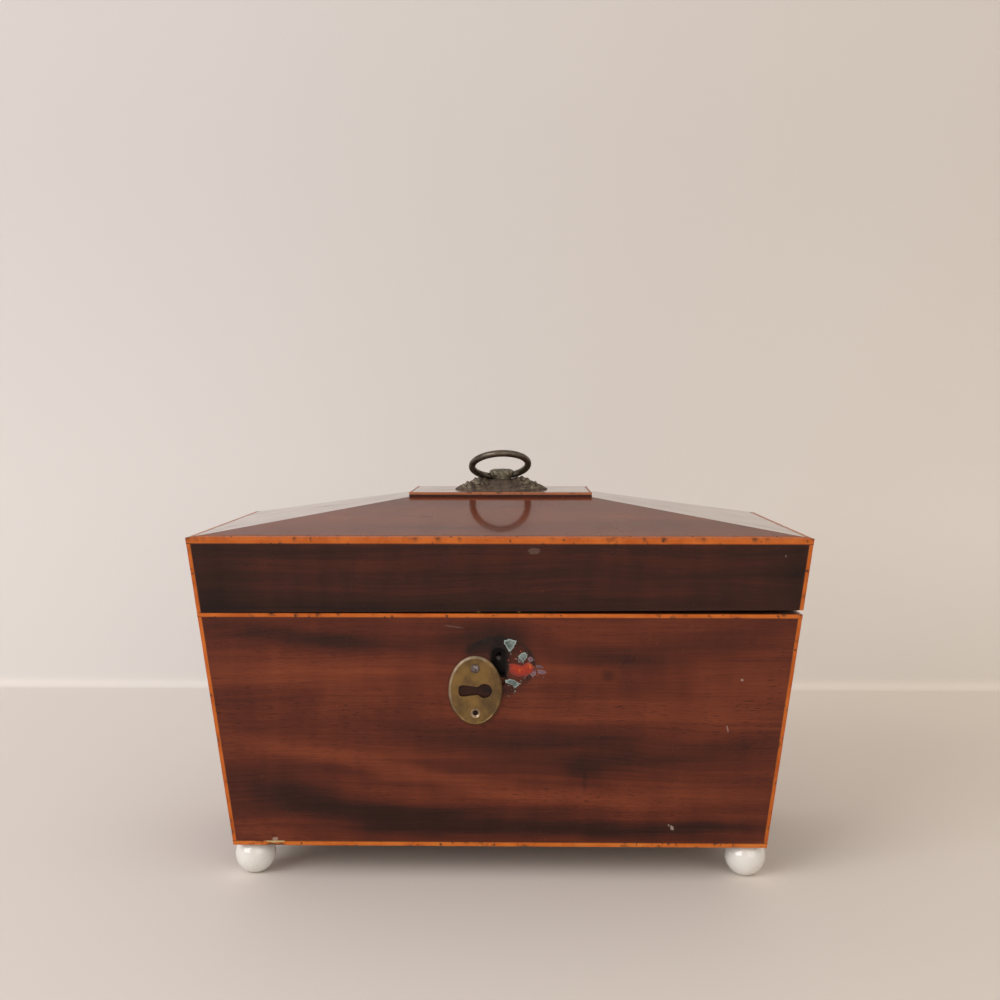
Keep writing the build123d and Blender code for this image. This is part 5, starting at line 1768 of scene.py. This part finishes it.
@dataclass
class Residue:
    """Wax and green crust left round the keyhole, thin enough for the loose plate to pass over.

    The greatest thickness and the depth let into the wood are in millimetres.
    """

    outside: Outside
    thickest: float = 0.22
    sunk: float = 0.05
    crease: float = 70.0
    green: tuple[Lump, ...] = (
        Lump("green_flake_top", (
            (2.4, 125.0), (4.6, 126.0), (6.4, 125.7), (9.0, 125.1), (8.5, 123.4), (7.6, 121.9),
            (6.6, 120.2), (5.2, 119.3), (4.2, 120.8), (3.4, 122.6), (2.2, 123.8)), 0.22, 3),
        Lump("green_flake_middle", (
            (10.0, 117.6), (11.4, 119.0), (13.2, 119.2), (14.2, 117.9), (13.9, 116.2),
            (12.7, 115.0), (11.9, 113.6), (11.2, 115.2), (9.6, 116.3)), 0.20, 7),
        Lump("green_flake_low", (
            (3.2, 105.0), (5.4, 105.6), (7.6, 105.2), (8.8, 104.2), (11.0, 103.2), (9.8, 101.9),
            (7.6, 100.8), (7.0, 102.2), (5.2, 103.0), (3.4, 103.6)), 0.18, 9))
    red: tuple[Lump, ...] = (
        Lump("sealing_wax", (
            (4.4, 113.2), (6.4, 113.6), (8.4, 113.3), (10.4, 112.6), (12.0, 112.4), (13.4, 113.6),
            (15.4, 114.3), (17.2, 113.2), (18.2, 111.2), (17.6, 109.0), (15.8, 107.6),
            (12.6, 106.6), (9.4, 106.5), (6.6, 107.4), (4.9, 109.4)), 0.22, 5, 0.18),)
    pale: tuple[Lump, ...] = (
        Lump("wax_crumb_top", (
            (14.2, 116.2), (15.6, 117.1), (17.2, 115.8), (16.6, 114.4), (15.0, 114.1)), 0.18, 13),
        Lump("wax_crumb_side", (
            (16.4, 109.8), (18.4, 109.4), (18.3, 107.5), (16.6, 106.7), (15.4, 107.9)), 0.18, 15),
        Lump("wax_smear_upper", (
            (18.0, 113.0), (20.2, 112.8), (22.6, 111.2), (20.6, 110.9), (18.4, 111.5)), 0.12, 17),
        Lump("wax_smear_lower", (
            (18.6, 110.4), (21.4, 110.4), (24.2, 109.0), (22.4, 107.8), (19.6, 108.0)), 0.12, 19))

    def scatter(self, seed: int, count: int, spots: Sequence[Triple]) -> Shape:
        """Small crumbs round chosen spots.

        Args:
            seed: Chooses the crumbs.
            count: How many there are.
            spots: Places along X and Z, and how far the crumbs stray from them, in millimetres.

        Returns:
            The shape.
        """
        draw = random.Random(seed)
        whole = Shape()
        for number in range(count):
            x, z, stray = draw.choice(spots)
            x, z = max(draw.gauss(x, stray), 4.8), draw.gauss(z, stray)
            size = draw.uniform(0.16, 0.50)
            edge = tuple((x + size * draw.uniform(0.6, 1.3) * math.cos(turn),
                          z + size * draw.uniform(0.6, 1.3) * math.sin(turn)) for turn in spokes(6))
            crumb = self.blob(Lump("crumb", edge, draw.uniform(0.10, 0.20), seed + number), 18, 5)
            whole.add(crumb.points, crumb.faces)
            whole.keep("thin", crumb.numbers["thin"])
        return whole

    def blob(self, lump: Lump, count: int = 96, rows: int = 14) -> Shape:
        """The raised shape of one deposit, on the front's slope.

        Args:
            lump: The deposit.
            count: Points round its edge.
            rows: Steps from its middle to its edge.

        Returns:
            The shape.
        """
        closed = [Vector(point) for point in lump.outline]
        middle = sum(closed, Vector((0.0, 0.0))) / len(closed)
        edge = []
        for k in range(count):
            at = k / count * len(closed)
            first, share = int(at), at - int(at)
            smooth = share * share * (3 - 2 * share)
            after = closed[(first + 1) % len(closed)]
            point = closed[first].lerp(after, 0.6 * share + 0.4 * smooth)
            ragged = noise.noise(Vector((k * 26 / count, lump.seed, 0.0)))
            ragged += 0.6 * noise.noise(Vector((k * 66 / count, lump.seed, 3.0)))
            point += (point - middle) * 0.16 * ragged
            edge.append(point)
        thin, loops = [], []
        for row in range(rows + 1):
            share = row / rows
            rise = (1.0 - share ** 3.0) ** 0.6 if share < 1.0 else 0.0
            loop = []
            for point in edge:
                spot = middle.lerp(point, share)
                bumpy = noise.noise(Vector((spot.x * 0.9, spot.y * 0.9, lump.seed * 3.0)))
                finer = noise.noise(Vector((spot.x * 2.6, spot.y * 2.6, lump.seed * 5.0)))
                height = lump.thickness * rise * (0.75 + lump.rough * (1.6 * bumpy + 0.9 * finer))
                height = min(height, self.thickest)
                z = spot.y * MM
                depth = self.outside.half_depth(z) + (height - self.sunk) * MM
                loop.append(Vector((spot.x * MM, -depth, z)))
                thin.append(share)
            loops.append(loop)
        return Shape.of(loops, thin=thin)

    def build(self) -> None:
        """Make and place every deposit."""
        green = Crust("green_crust", (0.18, 0.225, 0.21), (0.070, 0.090, 0.086),
                      (0.30, 0.36, 0.34)).material()
        red = Crust("old_wax", (0.61, 0.132, 0.018), (0.28, 0.025, 0.013), (0.17, 0.030, 0.022),
                    0.50, 330.0).material()
        pale = Crust("wax_dust", (0.175, 0.102, 0.120), (0.095, 0.055, 0.068),
                     (0.25, 0.175, 0.19)).material()
        pieces = [(lump.name, finish, self.blob(lump))
                  for finish, lumps in ((green, self.green), (red, self.red), (pale, self.pale))
                  for lump in lumps]
        near_green = ((6.0, 119.0, 1.3), (12.0, 116.5, 1.7), (8.0, 102.5, 2.2), (10.6, 114.6, 0.9))
        near_wax = ((17.4, 109.2, 1.3), (15.6, 115.2, 1.3), (20.0, 110.0, 2.0), (14.0, 107.4, 1.4))
        pieces += [("green_crumbs", green, self.scatter(71, 34, near_green)),
                   ("wax_crumbs", pale, self.scatter(83, 40, near_wax)),
                   ("red_crumbs", red, self.scatter(97, 14, ((11.0, 110.0, 3.6),)))]
        for name, finish, shape in pieces:
            settle(shape.piece(name, finish, self.crease), Part.BODY, Slot.BRASS)


# ---- carcase, lid and inside


@dataclass
class Woodwork:
    """Finishes of the boards, panels and compartments."""

    outside: Outside
    front_figure: tuple[Patch, ...] = patches(
        (-100, 127.0, 52, 5.0, -9, 0.26), (-40, 121, 50, 6, -6, 0.14),
        (-4, 126, 26, 9, 0, 0.30), (60, 113, 36, 8, -6, 0.22),
        (54, 106.2, 3.2, 2.4, 0, 0.25), (108, 125, 46, 8, 10, 0.16),
        (30, 72, 52, 12, 0, 0.30), (88, 68, 60, 7.5, 7, 0.22),
        (-26, 76, 34, 9, -10, 0.18), (42, 57, 9, 9, 0, 0.14),
        (43, 51, 1.6, 8, 0, 0.14), (-114, 42, 34, 12, -8, 0.34),
        (-66, 33, 50, 9, -8, 0.34), (6, 26, 62, 7, -2, 0.32),
        (86, 24.5, 62, 6.0, 0, 0.32), (-85, 102, 66, 14, -5, -0.15),
        (-92, 66, 54, 7.0, -11, -0.17), (-30, 52, 52, 6.0, -12, -0.20),
        (40, 41, 50, 5.0, -2, -0.18), (96, 47, 50, 11, 4, -0.15),
        (112, 95, 44, 14, 5, -0.14), (-122, 24, 20, 5, -8, -0.16),
        (20, 95, 60, 9, -3, -0.09))
    front_chips: tuple[Patch, ...] = patches(
        (119.8, 105.4, 0.8, 0.7, 0, 0.5), (113.4, 80.3, 0.4, 2.0, 12, 0.4),
        (87.0, 28.2, 0.9, 1.5, 25, 0.6), (85.4, 29.6, 0.5, 0.7, 0, 0.5),
        (-22, 132.0, 5, 0.5, -8, 0.10), (-113.5, 21.2, 1.7, 1.0, 8, 0.55))
    plate_ghost: Patch = Patch(0.1, 112.6, 16.9, 13.8)
    # Dark patches on the front: painted shade under the plate's keyhole and under its lower hole, a
    # painted shadow to the plate's right, a dark patch round the wood's keyhole, and a real dark band
    # of the old plate's mark above the keyhole's left.
    front_stains_and_shade: tuple[Patch, ...] = patches(
        (-11.6, 99.8, 9.6, 5.4, 0, 0.80), (0.3, 115.0, 5.2, 12.4, 0, 0.92),
        (-10.0, 121.5, 7.0, 3.0, 8, 0.45), (-11.55, 88.2, 1.8, 1.8, 0, 0.95),
        (3.6, 102.5, 4.4, 6.0, 20, 0.45))
    lid_figure: tuple[Patch, ...] = patches(
        (-140, 156, 18, 26, 0, 0.16), (0, 145, 150, 5, 0, 0.08),
        (92, 158, 60, 12, 0, -0.09), (-50, 161, 50, 9, 0, -0.05),
        (-90, 171, 50, 3, 0, 0.06), (146, 156, 8, 20, 0, 0.08))
    lid_chips: tuple[Patch, ...] = patches(
        (17.2, 169.8, 3.2, 1.8, 0, 0.12), (-151.2, 171.0, 1.0, 1.4, 0, 0.5),
        (139, 167.5, 0.3, 0.8, 0, 0.35))

    def build(self) -> None:
        """Dress every wooden node."""
        low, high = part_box("right_tea_lid")
        inlay = ((low.x + high.x) / 2, (high.x - low.x) / 2, low.y, high.y)
        body = Veneer("body_veneer", self.outside, 0.50, None, self.front_figure, self.front_chips,
                      self.plate_ghost, self.front_stains_and_shade)
        lid = Veneer("lid_veneer", self.outside, 0.21, 0.60, self.lid_figure, self.lid_chips,
                     polish=0.78)
        inside = Veneer("plain_mahogany", self.outside, 0.5, shine=0.3)
        tea_lid = Veneer("tea_lid_veneer", self.outside, 0.66, shine=0.4, inlay=inlay)
        for finish, nodes in (
                (body, ("base_board", "front_board", "back_board", "left_board", "right_board")),
                (lid, ("lid_top_board", "plateau_panel", "lid_front_board", "lid_back_board",
                       "lid_left_board", "lid_right_board")),
                (inside, ("left_partition", "right_partition", "well_floor", "bowl_platform",
                          "platform_ledges")),
                (tea_lid, ("left_tea_lid", "right_tea_lid")),
                (MarbledPaper(), ("lid_lining",))):
            dress(finish.material(), *nodes)


@dataclass
class Fittings:
    """Finishes of the metal, glass and ceramic nodes."""

    unshaded_top: float = 4.0 * MM

    def build(self) -> None:
        """Dress every fitting."""
        old_brass = ((0.52, 0.35, 0.14), (0.26, 0.155, 0.06), (0.12, 0.09, 0.05),
                     (0.66, 0.49, 0.23))
        brass = Patina("aged_brass", *old_brass, 0.95, (0.24, 0.42), 70.0, 0.00004)
        # The lock is painted near black below the front's top, painted shade that keeps the keyhole
        # dark; only its top few millimetres keep the brass colour.
        lock = Patina("lock_brass", *old_brass, 0.6, (0.30, 0.50), 70.0, 0.00004,
                      shaded_below=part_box("front_board")[1].z - self.unshaded_top)
        steel = Patina("old_steel", (0.23, 0.215, 0.205), (0.11, 0.085, 0.07), (0.13, 0.065, 0.035),
                       (0.38, 0.37, 0.36), 0.9, (0.3, 0.5), 210.0, 0.00005)
        dark_steel = Patina("lock_pin_steel", (0.060, 0.052, 0.048), (0.025, 0.020, 0.017),
                            (0.035, 0.020, 0.014), (0.10, 0.09, 0.085), 0.7, (0.4, 0.6), 210.0,
                            0.00005)
        screw = Patina("plate_screw_metal", (0.20, 0.165, 0.160), (0.115, 0.085, 0.080),
                       (0.09, 0.06, 0.05), (0.36, 0.31, 0.30), 0.8, (0.32, 0.5), 420.0, 0.00008)
        for finish, nodes in (
                (lock, ("lock_plate", "lock_cap", "lock_bolt")),
                (brass, ("body_hinge_leaf_left", "body_hinge_leaf_right", "lid_hinge_leaf_left",
                         "lid_hinge_leaf_right", "hasp_plate", "tea_lid_pins")),
                (steel, ("hinge_pin_left", "hinge_pin_right", "body_hinge_screws",
                         "lid_hinge_screws", "lock_spring", "lock_screws", "hasp_screws",
                         "foot_studs", "handle_nut")),
                (dark_steel, ("lock_key_pin",)),
                (screw, ("escutcheon_screw",)),
                (Boxwood("turned_boxwood"), ("left_tea_knob", "right_tea_knob")),
                (Foil(), ("left_tea_liner", "right_tea_liner")),
                (Glaze(), ("foot_front_left", "foot_front_right", "foot_back_left",
                           "foot_back_right"))):
            dress(finish.material(), *nodes)


@dataclass
class FlutedBowl:
    """The cut glass bowl, with flutes round its side and a ground rim.

    Its outer and inner profiles are shares of its half width and its height.
    """

    flutes: int = 24
    cut: float = 1.0 * MM
    turns: int = 288
    crease: float = 40.0
    outer: Spots = (
        (0.0, 0.0), (0.50, 0.0), (0.565, 0.012), (0.575, 0.032), (0.60, 0.055), (0.70, 0.14),
        (0.82, 0.25), (0.905, 0.38), (0.95, 0.52), (0.965, 0.62), (0.975, 0.74), (0.985, 0.86),
        (0.996, 0.965), (0.99, 0.99), (0.97, 1.0))
    inner: Spots = (
        (0.945, 0.998), (0.922, 0.985), (0.915, 0.90), (0.90, 0.74), (0.885, 0.60), (0.86, 0.48),
        (0.80, 0.34), (0.70, 0.22), (0.56, 0.125), (0.40, 0.082), (0.20, 0.076), (0.0, 0.076))

    def build(self) -> None:
        """Make and place the bowl."""
        low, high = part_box("glass_bowl")
        cuts = [math.sin(math.pi * min(1.0, max(0.0, (share - 0.06) / 0.72)))
                for _, share in self.outer]
        cuts += [0.0] * len(self.inner)
        loops = []
        for (reach, share), strength in zip((*self.outer, *self.inner), cuts):
            z = low.z + share * (high.z - low.z)
            loop = []
            for angle in spokes(self.turns):
                wave = abs(math.sin(angle * self.flutes / 2))
                radius = reach * high.x - self.cut * strength * (1.0 - wave ** 0.7)
                radius = max(radius, 0.01 * MM)
                loop.append(Vector((radius * math.cos(angle), radius * math.sin(angle), z)))
            loops.append(loop)
        bowl = Shape.of(loops).piece("fluted_glass_bowl", OldGlass().material(), self.crease)
        settle(bowl, Part.BOWL, Slot.GLASS, "glass_bowl")


# ---- studio


@dataclass(frozen=True)
class Lamp:
    """A soft lamp: where it stands, what it points at, its two sides, watts and colour."""

    name: str
    place: Triple
    aim: Triple
    sides: Spot
    power: float
    colour: Colour

    def build(self) -> None:
        """Make and place the lamp."""
        data = bpy.data.lights.new(self.name, "AREA")
        data.shape, data.size, data.size_y = "RECTANGLE", *self.sides
        data.energy, data.color = self.power, self.colour
        made = bpy.data.objects.new(self.name, data)
        made.location = self.place
        ray = Vector(self.aim) - Vector(self.place)
        made.rotation_euler = ray.to_track_quat("-Z", "Y").to_euler()
        bpy.context.scene.collection.objects.link(made)


@dataclass
class Studio:
    """The camera, floor, wall and lights; angles in radians and the lens in sensor widths."""

    camera_place: Triple = (12.0 * MM, -706.7 * MM, 237.1 * MM)
    pitch: float = 0.0679
    yaw: float = -0.018
    focal_share: float = 1.2949
    wall_y: float = 0.394
    cove: float = 0.007
    cove_steps: int = 12
    reach: float = 6.0
    lamps: tuple[Lamp, ...] = (
        Lamp("window", (-1.75, -1.75, 1.15), (0.0, 0.0, 0.1), (1.7, 1.5), 37.0, (0.985, 0.99, 1.0)),
        Lamp("fill", (1.3, -2.3, 0.9), (0.0, 0.0, 0.05), (2.2, 1.5), 15.0, (1.0, 0.90, 0.78)))
    surround: Colour = (1.0, 0.972, 0.945)
    surround_strength: float = 0.62

    def camera(self) -> None:
        """Make the camera at the photograph's place."""
        data = bpy.data.cameras.new("camera")
        data.sensor_width = 36.0
        data.lens = data.sensor_width * self.focal_share
        data.clip_start, data.clip_end = 0.01, 50.0
        made = bpy.data.objects.new("camera", data)
        made.location = self.camera_place
        made.rotation_euler = (math.radians(90) - self.pitch, 0.0, -self.yaw)
        bpy.context.scene.collection.objects.link(made)
        bpy.context.scene.camera = made

    def backdrop(self) -> None:
        """Make the floor and wall as one swept sheet."""
        profile = [(-self.reach, 0.0), (-0.5, 0.0), (0.0, 0.0), (self.wall_y - self.cove, 0.0)]
        for k in range(1, self.cove_steps + 1):
            angle = math.radians(90 * k / self.cove_steps)
            profile.append((self.wall_y - self.cove + self.cove * math.sin(angle),
                            self.cove * (1 - math.cos(angle))))
        profile.append((self.wall_y, self.reach / 2))
        shape = Shape()
        for x in (-self.reach, self.reach):
            shape.points.extend(Vector((x, y, z)) for y, z in profile)
        count = len(profile)
        shape.faces.extend((k, k + 1, count + k + 1, count + k) for k in range(count - 1))
        sheet = shape.piece("pale_backdrop", PalePaint().material(), 60.0)
        if sheet.data.polygons[0].normal.z < 0.0:
            sheet.data.flip_normals()

    def lights(self) -> None:
        """Make the window-like key light, a weak fill and an even surround."""
        for lamp in self.lamps:
            lamp.build()
        world = bpy.data.worlds.new("surround")
        world.use_nodes = True
        ground = world.node_tree.nodes["Background"]
        ground.inputs["Color"].default_value = (*self.surround, 1.0)
        ground.inputs["Strength"].default_value = self.surround_strength
        bpy.context.scene.world = world

    def build(self) -> None:
        """Set up the view, the stage and the light."""
        self.camera()
        self.backdrop()
        self.lights()
        bpy.context.scene.view_settings.view_transform = "Standard"
        LOG.info("studio is ready")


def main() -> None:
    """Build the caddy's looks in order."""
    logging.basicConfig(level=logging.INFO, format="%(name)s: %(message)s")
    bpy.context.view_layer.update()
    outside = Outside.from_frame()
    Studio().build()
    Woodwork(outside).build()
    Stringing(outside).build()
    Fittings().build()
    RingHandle().build()
    KeyholePlate().build()
    Residue(outside).build()
    FlutedBowl().build()


if __name__ == "__main__":
    main()
